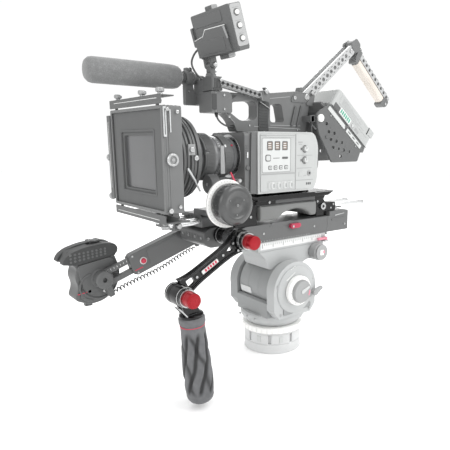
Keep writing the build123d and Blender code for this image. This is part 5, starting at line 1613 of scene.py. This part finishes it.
def flag(name, body, node, place, half, width, knob_rows, depth=50):
    """A folding flag: a thin sheet with a rolled front edge, stiffening ribs and hinge knuckles."""
    sheet = slab("Z", round_box(-half, half, -5, depth, 3), 17, 19.4)
    lip = slab("X", round_box(-6, -3.4, 2.6, 20.4, 1.2), -half, half)
    ribs = row(2, (0, depth * 0.3, 19.8), (0, depth * 0.5, 0), (half * 1.7, 2.0, 1.2))
    knuckles = []
    for side in (-1, 1):
        for step in (-6.5, 6.5):
            x = side * width + step
            knuckles.append(lathe("X", 0, 9, [(2.6, x - 2.4), (4.9, x - 2.4), (4.9, x + 2.4), (2.6, x + 2.4)],
                                  28, closed=True))
            knuckles.append(box(x - 2.4, x + 2.4, -4, 4, 13, 17.4))
    piece(name, body, [("flag_sheet", [turned(s, place) for s in (sheet, lip, ribs, *knuckles)])], 0.7,
          [node])
    strip = slab("X", round_box(-6.5, -5.4, 12.6, 13.8, 0.4), -half + 24, half - 14)
    knobs = [knob_at("Z", (x, 0, 19.4), 8.0, 12.5) for x in knob_rows]
    knobs += [teeth("Z", x, 0, 27.4, 16, 7.8, (1.0, 1.6, 4.6)) for x in knob_rows]
    piece(name + "_fittings", body, [("pale_print", [turned(strip, place)]),
                                     ("clear_knob", [turned(k, place) for k in knobs])], 0.3)


def matte_box_stage():
    """The filter stage: its frame and tray, the stepped drum, the pane, the clamp ring and the rod leg."""
    z = LENS_Z
    core = frame_of(87.6, z - 77.6, z + 77.6, 17.6, -235.2, -222, 4)
    trays = [frame_of(88.4, z - 76, z + 78.4, 14, -231, -226, 3)]
    steps = [(74.1, -222)]
    for y, outer, inner in ((-222, 88, 85), (-214, 88, 84.5), (-205, 87, 83), (-196, 88, 85), (-188, 87, 83),
                            (-180, 88, 86)):
        steps += [(outer, y), (outer, y + 4.6), (inner, y + 5.2), (inner, y + 7.4)]
    rear = lathe("Y", 0, z, steps + [(86, -171), (84, -170), (78, -169.4), (56.1, -169.4), (56.1, -206),
                                     (74.1, -206)], 128, closed=True)
    clamp_ring = lathe("Y", 0, z, [(56.1, -172), (78, -172), (78, -166), (74, -163.2), (56.1, -163.2)], 96,
                       closed=True)
    leg = slab("Y", smooth_outline([(-45, -139), (45, -139), (45, -114), (36, -98), (36, -62), (-36, -62),
                                    (-36, -98), (-45, -114)], 4),
               -218, -203, [circle(x, ROD_Z, ROD_R + 0.15, 32) for x in (-ROD_X, ROD_X)])
    piece("filter_stage_frame", "rig", [("hood_outside", [core, *trays]), ("stage_rings", [rear]),
                                        ("grey_anodised", [clamp_ring, leg])],
          0.9, ["filter_stage"])
    tabs = [slab("X", round_box(-229.5, -223.5, z + 18, z + 42, 2), 88, 92)]
    lock = [lathe("X", -196, 33, [(0, 82), (6, 82), (6, 91), (4.6, 92.4), (0, 92.4)], 32),
            box(78, 88, -204, -188, 22, 44)]
    arms = [slab("X", bar((-206, -6), (-190, -30), 2.4, 1.8), 84, 90),
            slab("X", bar((-196, -14), (-176, -52), 1.6, 1.6), 80, 84)]
    pane = slab("Y", round_box(-69.5, 69.5, -54.5, 84.5, 2), -208.6, -206.4)
    piece("filter_stage_fittings", "rig", [("bright_knob", [lock[0], knob_at("X", (84, -186, 16), 5.5, 7)]),
                                           ("grey_abs", tabs + [lock[1]]), ("clear_anodised", arms)], 0.5)
    piece("filter_pane", "rig", [("filter_glass", [pane])], 0.3)
    piece("filter_stage_screws", "rig", [("turned_aluminium", [
        screws((1, 0, 0), 2.2, 1.2, [(87.6, -228, z + dz) for dz in (-66, 66)]),
        screws((0, 1, 0), 2.4, 1.2, [(70 * cos(a), -163.6, z + 70 * sin(a))
                                     for a in (0.4, 1.6, 2.7, 3.8, 4.9)]),
        knob_at("X", (45, -210, -128), 6, 9)])])


lens()
follow_focus()
hood()
matte_box_stage()
flag("top_flag_sheet", "top_flag_body", "top_flag", Matrix.Translation((0, HINGE_Y, HOOD_HIGH)), 118, 95,
     (-84, 33, 107), 24)
flag("bottom_flag_sheet", "bottom_flag_body", "bottom_flag",
     Matrix.Translation((0, HINGE_Y, HOOD_LOW)) @ Matrix.Rotation(pi, 4, "Y"), 118, 95, (-106,))
flag("side_flag_sheet", "side_flag_body", "side_flag",
     Matrix.Translation((-HOOD_X, HINGE_Y, HINGE_MIDDLE)) @ Matrix.Rotation(-pi / 2, 4, "Y"), 92, 78,
     (-88, 0))


# ---------------------------------------------------------------- top handle, viewfinder, microphone
def top_handle():
    """The handle: a shaped frame with two openings, end blocks, seams, bolts and its crossbar."""
    outline = smooth_outline([(-30, 71.5, 2), (188, 71.5, 4), (196, 112, 8), (204, 160, 8), (196, 170, 5),
                              (150, 172, 10),
                              (40, 160, 8), (-20, 158, 8), (-104.6, 158.5, 4), (-104.6, 112, 4),
                              (-62, 112, 8), (-44, 99, 12)], 6, 6)
    front_gap = smooth_outline([(-54, 117), (-43, 138), (16, 143), (29, 136), (29, 104), (14, 98), (-20, 96)],
                               10, 6)
    rear_gap = smooth_outline([(70, 95), (70, 138), (106, 139), (116, 95)], 9, 6)
    holes = [front_gap, rear_gap, circle(192, 160, 5.05, 24)]
    piece("handle_frame", "rig", [("handle_nylon", [slab("X", outline, -16.8, 16.8, holes)])], 2.6,
          ["top_handle"], 4, 35)
    block = slab("X", smooth_outline([(-105, 112.4), (-50, 112.4), (-50, 150), (-58, 158), (-105, 158)], 4),
                 -26, 26)
    cheeks = [slab("X", smooth_outline([(138, 146), (190, 146), (196, 158), (190, 168), (150, 166),
                                        (138, 156)], 4), s * 17.6 - 1.2, s * 17.6 + 1.2,
                   [circle(192, 160, 5.2, 24)] if s > 0 else ()) for s in (-1, 1)]
    cross = [slab("Z", round_box(-49.8, 49.8, 176.4, 189.6, 2), 98.4, 112)]
    ears = [slab("X", smooth_outline([(178, 98), (200, 98), (208, 102), (208, 110), (200, 114), (178, 114)],
                                     3), min(a, b), max(a, b),
                 [circle(200, 106, 4.05, 24)]) for a, b in ((41, 49.8), (-41, -49.8))]
    pad = [slab("X", smooth_outline([(33, 73), (64, 73), (62, 96), (66, 138), (60, 146), (34, 144),
                                     (33, 100)], 3), -18.6, 18.6),
           slab("X", smooth_outline([(-104, 118), (-92, 118), (-92, 152), (-104, 152)], 2), -27, 27),
           slab("X", smooth_outline([(-58, 120, 3), (-46, 142, 6), (-30, 152, 4), (-56, 152, 4),
                                     (-66, 122, 3)], 4), -18, 18)]
    piece("handle_blocks", "rig", [("handle_nylon", [block, *cheeks]), ("grey_anodised", cross + ears),
                                   ("soft_touch_black", pad)], 1.2, (), 3)
    ribs = [row(10, (0, 48, 77), (0, 0, 6.6), (39, 24, 2.2))]
    seams = [slab("X", bar(start, end, half, half), low, low + half) for start, end, half, low in (
        ((-94, 114), (-94, 156), 0.7, 26), ((-64, 114), (-38, 92), 0.7, 16.8), ((64, 150), (132, 158), 0.8,
                                                                                16.8),
        ((20, 84), (170, 80), 0.8, 16.8), ((70, 88), (170, 88), 0.8, 16.8))]
    piece("handle_ribs", "rig", [("soft_touch_black", ribs), ("grey_abs", seams)], 0.3)
    pillars = [slab("X", bar((140, 90), (152, 132), 4, 4), 16.8, 20.4),
               slab("X", bar((158, 88), (172, 136), 3, 3), 16.8, 19.8)]
    bolts = [screws((1, 0, 0), 2.6, 1.8, [(17, -52, 104), (26.4, -72, 150), (26.4, -72, 120)]),
             screws((1, 0, 0), 4.6, 2.6, [(19, 148, 156)]),
             screws((1, 0, 0), 2.2, 1.4, [(17, 6, 86), (17, 160, 78)])]
    piece("handle_bolts", "rig", [("dark_print", pillars), ("bright_knob", bolts)], 0.3)
    pivot = [lathe("X", 192, 160, [(0, 16.4), (8.4, 16.4), (8.4, 19), (7, 20.6), (3, 20.6), (3, 19.4),
                                   (0, 19.4)], 40)]
    clamp = [slab("X", smooth_outline([(188, 140), (214, 139), (219, 166), (210, 176), (194, 150)], 4),
                  s * 18.3 - 1.6, s * 18.3 + 1.6,
                  ()) for s in (-1, 1)]
    guards = [slab("X", [(172, 168), (182, 168), (186, 184), (178, 184)], -9, 9)]
    piece("rear_pivot_cheeks", "rig", [("handle_nylon", clamp + guards), ("turned_aluminium", pivot + [
        lathe("X", 207, 170, [(0, 19.6), (5, 19.6), (5, 25), (4, 26.4), (0, 26.4)], 32)])], 0.8)
    knob = [lathe("X", 202, 107, [(0, 56.2), (8.6, 56.2), (9.6, 57.4), (9.6, 62), (8.4, 63.4), (0, 63.4)],
                  40)]
    piece("bracket_side_knob", "bracket", [("white_nylon", knob)], 0.3)


VIEW_TILT = (-92.0, 213.0)


def viewfinder_support():
    """The drilled rail, its end clamp and seat, and the post with its joints."""
    start, end = (-90.0, 177.0), (40.0, 153.0)
    pitch, first = 13, 12
    spots = [along(start, end, first + pitch * k) for k in range(9)]
    holes = [circle(*place, 2.6, 24) for place in spots]
    rail = slab("X", bar(start, end, 7.4, 7.4), 17.2, 30.8, holes)
    seat = slab("Z", round_box(-10, 31, -106, -78, 4), 158.8, 188)
    piece("viewfinder_bar", "rig", [("rail_coat", [rail]), ("grey_anodised", [seat])], 0.9,
          ["viewfinder_rail"], 3)
    top = [slab("X", bar(along(start, end, 10), along(start, end, 124), 5.0, 5.0), 30.8, 31.9,
                [circle(*place, 3.2, 24) for place in spots])]
    slots = [slab("X", bar(along(start, end, first + 4 + pitch * k),
                           along(start, end, first + 8.5 + pitch * k),
                           1.0, 1.0), 31.8, 32.3) for k in range(8)]
    rims = [ring("X", *place, 2.7, 3.9, 31.2, 32.4, 24) for place in spots]
    piece("viewfinder_bar_plate", "rig", [("rail_coat", top), ("dark_print", slots),
                                          ("soft_touch_black", rims)], 0.2)
    clamp = [slab("X", smooth_outline([(30, 143), (54, 140), (56, 160), (48, 167), (32, 166)], 3), 15, 34)]
    screw = [lathe("X", 42, 163, [(0, 33), (5.4, 33), (5.4, 38), (4.4, 39.6), (0, 39.6)], 28),
             slab("X", bar((30, 145), (28, 160), 0.9, 0.9), 34, 35.4),
             slab("X", bar((36, 141), (64, 127), 1.3, 0.9), 20, 22)]
    blade = [slab("X", bar((52, 166), (44, 172), 2.4, 1.8), 20, 30)]
    piece("viewfinder_bar_clamp", "rig", [("handle_nylon", clamp + blade), ("turned_aluminium", screw)], 0.6)
    piece("viewfinder_seat_trim", "rig", [("soft_touch_black",
                                           [row(5, (31.2, -99, 174), (0, 3.8, 0), (1.4, 1.8, 20)),
                                            slab("X", round_box(-104, -80, 160, 164, 1), 30.6, 32.4)]),
                                          ("bright_knob",
                                           [lathe("X", -84, 181,
                                                  [(0, 30), (4, 30), (4, 35), (3, 36), (0, 36)], 24)])], 0.3)
    post = lathe("Z", 6, -92, [(0, 188.1), (12.8, 188.1), (12.8, 190.6), (11.4, 191.4), (11.4, 194),
                               (10.6, 196), (0, 196)], 48)
    block = slab("X", smooth_outline([(-99, 195.4), (-85, 195.4), (-85, 205), (-83.4, 213), (-92, 221.4),
                                      (-100.6, 213), (-99, 205)], 4, 5), -1.9, 13.9)
    knob = [lathe("Y", 6, 203, [(0, -84.8), (4.4, -84.8), (4.4, -79), (3.4, -78), (0, -78)], 24)]
    piece("viewfinder_pillar", "view_post", [("handle_nylon", [post, block]), ("bright_knob", knob)], 0.8,
          ["viewfinder_post"])


def viewfinder():
    """The screen: a rounded body, raised rear cover with a bright edge, control strip, lugs and ears."""
    def put(*shapes):
        return [turned(shape, leaned((60, -106, 225), "X", 17)) for shape in shapes]

    body = [slab("Y", smooth_outline([(-70, 0), (70, 0), (70, 88), (-70, 88)], 5, 5), 0.2, 29.6)]
    cover = [slab("Y", smooth_outline([(-70, 3), (52, 3), (49, 27), (46, 53), (-22, 54.5), (-35, 43),
                                       (-70, 38.5)], 2), -4, 0.6)]
    door = [slab("Y", round_box(-62, 40, 62, 82, 3), -1.0, 0.6),
            slab("Y", round_box(-50, 36, 8, 34, 3), -5, -3.6)]
    joint = [slab("X", smooth_outline([(-4, 26), (18, 26), (18, 66), (-4, 66)], 4), -77, -69.6)]
    lugs = [slab("X", round_box(6, 22, 86, 97, 3), -18, 4), slab("X", round_box(4, 22, -9, 2, 3), -4, 26)]
    piece("viewfinder_body", "view_screen", [("monitor_abs", put(*body, *cover, *door, *joint, *lugs))], 1.6,
          ["viewfinder"], 3)
    edge = [slab("Y", bar(start, end, half, half, 6), -4.6, -1) for start, end, half in (
        ((-70, 39.5), (-36, 43.8), 0.8), ((-36, 43.8), (-23, 55.2), 0.8), ((-23, 55.2), (46, 53.8), 0.9))]
    patch = [slab("Y", smooth_outline([(40.5, 52), (47, 52.5), (51, 29), (47.5, 28)], 1.2), -4.9, -3)]
    caps = [slab("X", round_box(7, 21, 87, 96, 2), 3.4, 7), slab("X", round_box(5, 21, -8, 1, 2), 25.4, 29)]
    strip = [slab("X", round_box(1.6, 28, 8, 86, 4), 69.6, 71.6)]
    foot = [slab("X", round_box(1.6, 28, 1.2, 8, 2), 69.4, 71.4)]
    piece("viewfinder_trim", "view_screen", [("pale_print", put(*edge)),
                                             ("grey_abs", put(*patch)),
                                             ("panel_strip", put(*caps, *strip)),
                                             ("dark_abs", put(*foot))], 0.5)
    dials, rims, marks = [], [], []
    for z in (70, 46, 22):
        rims.append(ring("X", 14.5, z, 4.2, 6.6, 71.4, 72.4, 32))
        dials.append(lathe("X", 14.5, z, [(0, 71.4), (4.3, 71.4), (4.3, 75.4), (3.4, 76.4), (0, 76.4)], 28))
        marks += [slab("X", bar((6, z + 9), (22, z + 9), 0.4, 0.4, 4), 71.5, 71.9)]
    piece("viewfinder_dials", "view_screen", [("white_nylon", put(*dials)),
                                              ("dark_abs", put(*rims)),
                                              ("grey_abs", put(*marks))], 0.2)
    ports = [slab("X", round_box(2 + 7 * k, 7 + 7 * k, 42, 58, 1), -78, -76.6) for k in range(2)]
    glass = [slab("Y", round_box(-62, 62, 8, 80, 2), 29.2, 30.4)]
    bezel = [slab("Y", round_box(-68.5, 68.5, 2, 86.5, 4), 29, 31, [round_box(-62.4, 62.4, 7.6, 80.4, 2)])]
    piece("viewfinder_front", "view_screen", [("coated_glass", put(*glass)),
                                              ("dark_abs", put(*bezel, *ports))], 0.3)
    ears = [slab("X", bar(VIEW_TILT, (-96, 232), 7, 7), a, b, [circle(*VIEW_TILT, 2.2, 16)])
            for a, b in ((-9.9, -2.2), (14.2, 21.9))]
    pins = [lathe("X", *VIEW_TILT, [(0, 21.4), (5.2, 21.4), (5.2, 24.6), (4.2, 25.6), (0, 25.6)], 28),
            disc("X", *VIEW_TILT, 2.1, -9, 21.8, 16)]
    piece("viewfinder_ears", "view_screen", [("handle_nylon", ears), ("turned_aluminium", pins)], 0.6)


def microphone():
    """The foam windshield, the tube behind it, and the split ring that holds it to the handle."""
    x, z = -48, 189
    profile = [(0, -354), (12, -353.4), (19, -351), (24, -345.4), (25.6, -338), (25.9, -300), (26, -240),
               (25.9, -175),
               (25.4, -158), (23.4, -148.6), (19.6, -143.4), (15, -142), (11.5, -141.6), (11.5, -146),
               (0, -146)]
    foam = lathe("Y", x, z, profile, 72)
    piece("windshield", "rig", [("open_cell_foam", [foam])], 0, ["shotgun_microphone"], angle=180)
    tube = lathe("Y", x, z, [(0, -146), (10.9, -146), (10.9, -104), (10.2, -103.4), (10.2, -101.6),
                             (10.9, -101), (10.9, -94), (9.4, -92.4), (0, -92.4)], 48)
    plug = lathe("Y", x, z, [(0, -93), (8.2, -93), (8.2, -80), (6.6, -76), (4.6, -72), (0, -72)], 40)
    bands = [ring("Y", x, z, 10.6, 11.4, y, y + 2, 40) for y in (-139, -97)]
    piece("microphone_tube", "rig", [("dark_abs", [tube]), ("soft_touch_black", [plug]),
                                     ("turned_aluminium", bands)], 0.3)
    holder = [lathe("Y", x, z, [(11.6, -130), (15, -130), (16, -129), (16, -109), (15, -108), (11.6, -108)],
                    56, closed=True),
              slab("X", smooth_outline([(-130, 130), (-86, 130), (-86, 150), (-106, 156), (-110, 176),
                                        (-130, 176)], 4), -54, -42),
              box(-54, -26, -104, -86, 130.4, 150), box(-50, -12, -103, -88, 149, 183)]
    lip = [slab("Y", round_box(x - 7, x + 7, z + 12, z + 22, 2), -126, -112),
           ring("Y", x, z, 15.4, 17.2, -127, -124, 48), ring("Y", x, z, 15.4, 17.2, -114, -111, 48)]
    bolt = [lathe("X", -119, 208, [(0, x + 6.6), (3.4, x + 6.6), (3.4, x + 11), (0, x + 11)], 20),
            screws((1, 0, 0), 2.6, 1.4, [(-42, -122, 160), (-42, -96, 140)])]
    piece("microphone_clamp", "rig", [("handle_nylon", holder + lip), ("turned_aluminium", bolt)], 0.8,
          ["mic_holder"])


top_handle()
viewfinder_support()
viewfinder()
microphone()
for cord in (("viewfinder_lead", VIEWFINDER_ROUTE, 2.2, "rig", "viewfinder_cable"),
             ("audio_lead", AUDIO_ROUTE, 2.0, "rig", "audio_cable"),
             ("power_lead", POWER_ROUTE, 2.0, "rig", "power_cable")):
    free_cord(*cord)


# ---------------------------------------------------------------- rear handle and battery
REAR_PIVOT, ELBOW = (192.0, 160.0), (378.0, 306.0)
PITCH = 18.0                                        # between the holes of the drilled bars
GRIP_FRAME = leaned((0, 378, 306), "X", -40.07)
PLATE_FRAME = leaned((0, 236, 142), "X", -37.93)


def lower_arm():
    """The pair of drilled, slotted plates with their cross bolts."""
    plates, rims = [], []
    for side in (-1, 1):
        low, high = sorted((side * 10.2, side * 16))
        holes = [circle(*along(REAR_PIVOT, ELBOW, 24 + PITCH * k), 3.3, 24) for k in range(10)]
        stop = along(REAR_PIVOT, ELBOW, 212)
        plates.append(slab("X", bar(along(REAR_PIVOT, ELBOW, -13), stop, 14.8, 13), low, high, holes))
        plates.append(slab("X", bar(along(REAR_PIVOT, ELBOW, 200), ELBOW, 9, 9), low + 0.6, high - 0.6))
        for k in range(10):
            u, v = along(REAR_PIVOT, ELBOW, 24 + PITCH * k)
            rims.append(ring("X", u, v, 3.2, 4.8, side * 16.2 - 0.5, side * 16.2 + 0.5, 28))
    run = Vector(ELBOW) - Vector(REAR_PIVOT)
    length = run.length
    place = leaned((0, *REAR_PIVOT), "X", degrees(atan2(run.y, run.x)))
    piece("rear_arm_plates", "rear_arm", [("pale_anodised", plates), ("grey_anodised", rims)], 0.7,
          ["lower_cheese_arm"])
    slots = [turned(slab("X", round_box(30.5 + PITCH * k, 35.5 + PITCH * k, low, low + 2, 0.8),
                         side * 16.2 - 0.4, side * 16.2 + 0.4), place)
             for low in (-9, 7) for side in (-1, 1) for k in range(10)]
    ends = [lathe("X", *point, [(0, side * 16), (5.4, side * 16), (5.4, side * 19), (4.2, side * 20.2),
                                (0, side * 20.2)], 32)
            for side in (-1, 1) for point in (along(REAR_PIVOT, ELBOW, length - 26),)]
    pins = [disc("X", *along(REAR_PIVOT, ELBOW, d), 4.9, -10.4, 10.4, 24) for d in (0, 55, 110, 165, length)]
    cap = [turned(slab("X", smooth_outline([(length - 12, -17), (length + 6, -17), (length + 16, -6),
                                            (length + 12, 14), (length - 10, 17),
                                            (length - 20, 6)], 5), side * 14.4 - 3.6, side * 14.4 + 3.6),
                  place) for side in (-1, 1)]
    piece("rear_elbow_caps", "rear_arm", [("handle_nylon", cap)], 1.4)
    piece("rear_arm_bolts", "rear_arm", [("bright_knob", ends), ("turned_aluminium", pins),
                                         ("dark_print", slots)], 0.3)


def upper_arm():
    """The drilled bar from the elbow, the dark elbow housing, the wooden grip and the end cap."""
    hub = [lathe("X", *ELBOW, [(5.05, -9.9), (14, -9.9), (14, 9.9), (5.05, 9.9)], 48, closed=True)]
    cover = [turned(slab("X", smooth_outline([(-12, -12), (-10, 12), (10, 14), (20, 12), (20, -14), (6, -16)],
                                             6), -9.8, 9.8), GRIP_FRAME),
             turned(slab("X", smooth_outline([(20, -14), (18, 8), (36, 9), (38, -28), (30, -31)], 5), -13.5,
                         13.5), GRIP_FRAME)]
    holes = [circle(36 + PITCH * k, 0, 3.3, 24) for k in range(10)]
    rod = turned(slab("X", round_box(30, 214, -7.6, 7.6, 5), -9.9, 9.9, holes), GRIP_FRAME)
    edge = [turned(box(side * 8.6 - 1.6, side * 8.6 + 1.6, 42 + PITCH * k, 48 + PITCH * k, 6.4, 8.2),
                   GRIP_FRAME) for k in range(9) for side in (-1, 1)]
    rims = [turned(ring("X", 36 + PITCH * k, 0, 3.2, 4.6, side * 10 - 0.4, side * 10 + 0.4, 28), GRIP_FRAME)
            for k in range(1, 10) for side in (-1, 1)]
    cap = [turned(slab("X", smooth_outline([(188, -34), (206, -33), (214, -24), (214, -6), (190, -6)], 5),
                       -13, 13), GRIP_FRAME)]
    piece("rear_bar", "rear_grip", [("handle_nylon", hub + cap), ("pale_anodised", [rod]),
                                    ("grey_anodised", rims), ("arm_recess", edge)], 0.8,
          ["upper_cheese_arm"])
    ribs = [turned(box(-10.4, 10.4, 2 + 5 * k, 4 + 5 * k, 12, 15.6), GRIP_FRAME) for k in range(6)]
    bolts = [turned(lathe("X", 206, -20, [(0, side * 12.8), (3.6, side * 12.8), (3.6, side * 15),
                                          (0, side * 15)], 24), GRIP_FRAME) for side in (-1, 1)]
    bolts += [turned(lathe("X", 208, 0, [(0, side * 9.6), (4, side * 9.6), (4, side * 12.4),
                                         (0, side * 12.4)], 24), GRIP_FRAME) for side in (-1, 1)]
    piece("rear_elbow_cover", "rear_grip", [("handle_nylon", cover), ("soft_touch_black", ribs),
                                            ("bright_knob", bolts)], 1.0)
    grip = turned(slab("Y", round_box(-12.9, 12.9, -29.4, -8.6, 8, 8), 40.2, 187.8), GRIP_FRAME)
    collars = [turned(slab("Y", round_box(-12.2, 12.2, -28.8, -9, 8, 8), a, b), GRIP_FRAME)
               for a, b in ((36, 41), (187, 190))]
    piece("rear_wooden_grip", "rear_grip", [("oiled_beech", [grip]), ("grey_anodised", collars)], 1.2,
          ["wooden_grip"], 3)


def battery_bracket():
    """The perforated cheeks and the plate with its rails, release lever and screws."""
    outline = smooth_outline([(191, 116), (206, 128), (236, 142), (372, 36), (354, -6), (252, -6), (200, 72),
                              (192, 98)], 5, 5)
    spots = [(228 + 30 * s + 9 * r, 94 - 24 * s - 20 * r) for s in range(4) for r in range(4)]
    spots = [(u, v) for u, v in spots if v > 6]
    holes = [circle(u, v, 5, 22) for u, v in spots]
    cheeks = [slab("X", outline, *sorted((side * 50.2, side * 55.8)), holes) for side in (-1, 1)]
    piece("battery_cheeks", "bracket", [("bracket_coat", cheeks), ("turned_aluminium", [
        disc("X", 200, 106, 3.9, *sorted((side * 42.2, side * 51)), 24) for side in (-1, 1)])], 0.9,
          ["battery_bracket"])
    rims = [ring("X", u, v, 4.9, 6.4, 55.4, 56.3, 24) for u, v in spots]
    small = [disc("X", 243 + 30 * s + 9 * r, 84 - 24 * s - 20 * r, 1.8, 55.4, 56.2, 14) for s in range(3)
             for r in range(3)]
    piece("battery_cheek_rims", "bracket", [("handle_nylon", rims), ("dark_abs", small)], 0.2)
    plate = [turned(box(-50.3, 50.3, 6, 192, -8, -0.2), PLATE_FRAME)]
    strips = [turned(slab("X", round_box(a, b, -13, -2.4, 2), side * 53.5 - 4.2, side * 53.5 + 4.2),
                     PLATE_FRAME)
              for a, b in ((2, 84), (92, 168)) for side in (-1, 1)]
    caps = [turned(box(-50, 50, -6, 8, -9, 1), PLATE_FRAME),
            turned(slab("X", round_box(-22, 10, -14, -7, 3), -46, 50), PLATE_FRAME)]
    slots = [turned(slab("X", round_box(100 + 22 * k, 112 + 22 * k, -9, -6, 0.8), 57.4, 58), PLATE_FRAME)
             for k in range(3)]
    piece("battery_plate", "bracket", [("grey_anodised", plate), ("pale_abs", strips), ("bracket_coat", caps),
                                       ("dark_print", slots)], 0.8)
    knob = [disc("X", 228, 60, 4, 55, 58, 28)]
    lever = [turned(slab("X", bar((84, -4), (92, 3), 3.4, 2.6), 50.4, 58.6), PLATE_FRAME)]
    piece("battery_bracket_knobs", "bracket", [("dark_abs", knob + lever), ("turned_aluminium", [
        turned(screws((1, 0, 0), 2.4, 1.2, [(56, 22, -18), (56, 150, -18)]), PLATE_FRAME)])], 0.4)


def battery():
    """The battery: a two-part case with a label field, charge bars, test button and latch."""
    def put(*shapes):
        return [turned(shape, PLATE_FRAME) for shape in shapes]
    base = put(slab("Z", round_box(-47.6, 47.6, 12.4, 195.6, 4), 0.2, 11))
    case = put(slab("Z", round_box(-48, 48, 12, 196, 7, 6), 11.4, 62.6))
    piece("battery_case", "battery_pack", [("dark_abs", base), ("battery_abs", case)], 2.4, ["battery"], 4)
    field = put(slab("X", round_box(30, 180, 33, 56, 3), 47.6, 48.6))
    lines = put(*[slab("X", round_box(40, 40 + reach, 36.6 + 3 * k, 37.5 + 3 * k, 0.3), 48.5, 48.8)
                  for k, reach in enumerate((94, 116, 70, 98, 82, 50))])
    bars = put(*[slab("X", round_box(50 + 8 * k, 55 + 8 * k, 17, 28, 1), 47.8, 48.8) for k in range(6)])
    tray = put(slab("X", round_box(46, 99, 14.6, 30, 2), 47.4, 48.3))
    button = put(lathe("X", 112, 22, [(0, 47.6), (4.6, 47.6), (4.6, 49), (3.6, 49.8), (0, 49.8)], 28))
    around = put(ring("X", 112, 22, 5, 6.4, 47.7, 48.5, 32),
                 slab("X", round_box(124, 144, 18, 26, 3), 47.6, 48.4))
    latch = put(slab("X", round_box(174, 197, 44, 63.4, 2), 47, 49),
                slab("Z", round_box(-20, 20, 174, 194, 3), 62, 64.4))
    gap = put(slab("X", round_box(170, 174, 40, 63, 1), 47.6, 48.6),
              slab("X", round_box(12, 196, 11, 12.6, 0.5), 47.4, 48.3),
              slab("X", round_box(20, 46, 13, 27, 2), 47.5, 48.2))
    top = put(slab("Z", round_box(-38, 38, 24, 160, 4), 62, 63.4), box(-40, 40, 10.8, 12.2, 16, 56))
    piece("battery_trim", "battery_pack", [("battery_abs", field + latch + top), ("grey_abs", lines + around),
                                           ("green_segment", bars), ("pale_print", tray),
                                           ("pale_abs", button), ("dark_abs", gap)], 0.3)


lower_arm()
upper_arm()
battery_bracket()
battery()


# ---------------------------------------------------------------- studio
def studio():
    """A white floor, an even white world and large soft lamps."""
    world = bpy.data.worlds.new("white_room")
    world.use_nodes = True
    world.node_tree.nodes["Background"].inputs[0].default_value = (1.0, 1.0, 1.0, 1.0)
    world.node_tree.nodes["Background"].inputs[1].default_value = WORLD_STRENGTH
    bpy.context.scene.world = world
    floor = bmesh.new()
    bmesh.ops.create_circle(floor, cap_ends=True, segments=96, radius=9.0)
    mesh = bpy.data.meshes.new("studio_floor")
    floor.to_mesh(mesh)
    floor.free()
    item = bpy.data.objects.new("studio_floor", mesh)
    item.location = (0, 0, -0.0006)
    surface("studio_paper", "#ffffff", 0.9, 2.0, 0.01, tint=0.005)
    mesh.materials.append(MATERIALS["studio_paper"])
    bpy.context.scene.collection.objects.link(item)
    for name, place, aim, size, power in LAMPS:
        data = bpy.data.lights.new(name, "AREA")
        data.shape = "RECTANGLE"
        data.size, data.size_y = size
        data.energy = power
        lamp = bpy.data.objects.new(name, data)
        lamp.location = place
        lamp.rotation_euler = (Vector(aim) - Vector(place)).to_track_quat("-Z", "Y").to_euler()
        bpy.context.scene.collection.objects.link(lamp)


WORLD_STRENGTH = 1.02
LAMPS = (("key_softbox", (1.6, 0.9, 1.9), (0, 0, 0.45), (1.6, 1.6), 26.0),
         ("front_softbox", (0.9, -2.2, 1.5), (0, 0, 0.45), (1.8, 1.2), 10.0),
         ("overhead_softbox", (-0.6, 0.2, 2.4), (0, 0, 0.45), (1.8, 1.8), 14.0),
         ("floor_wash", (-2.2, 2.0, 2.2), (-0.8, 0.9, 0.0), (2.4, 2.4), 60.0))
studio()
bpy.context.scene.view_settings.view_transform = "Standard"
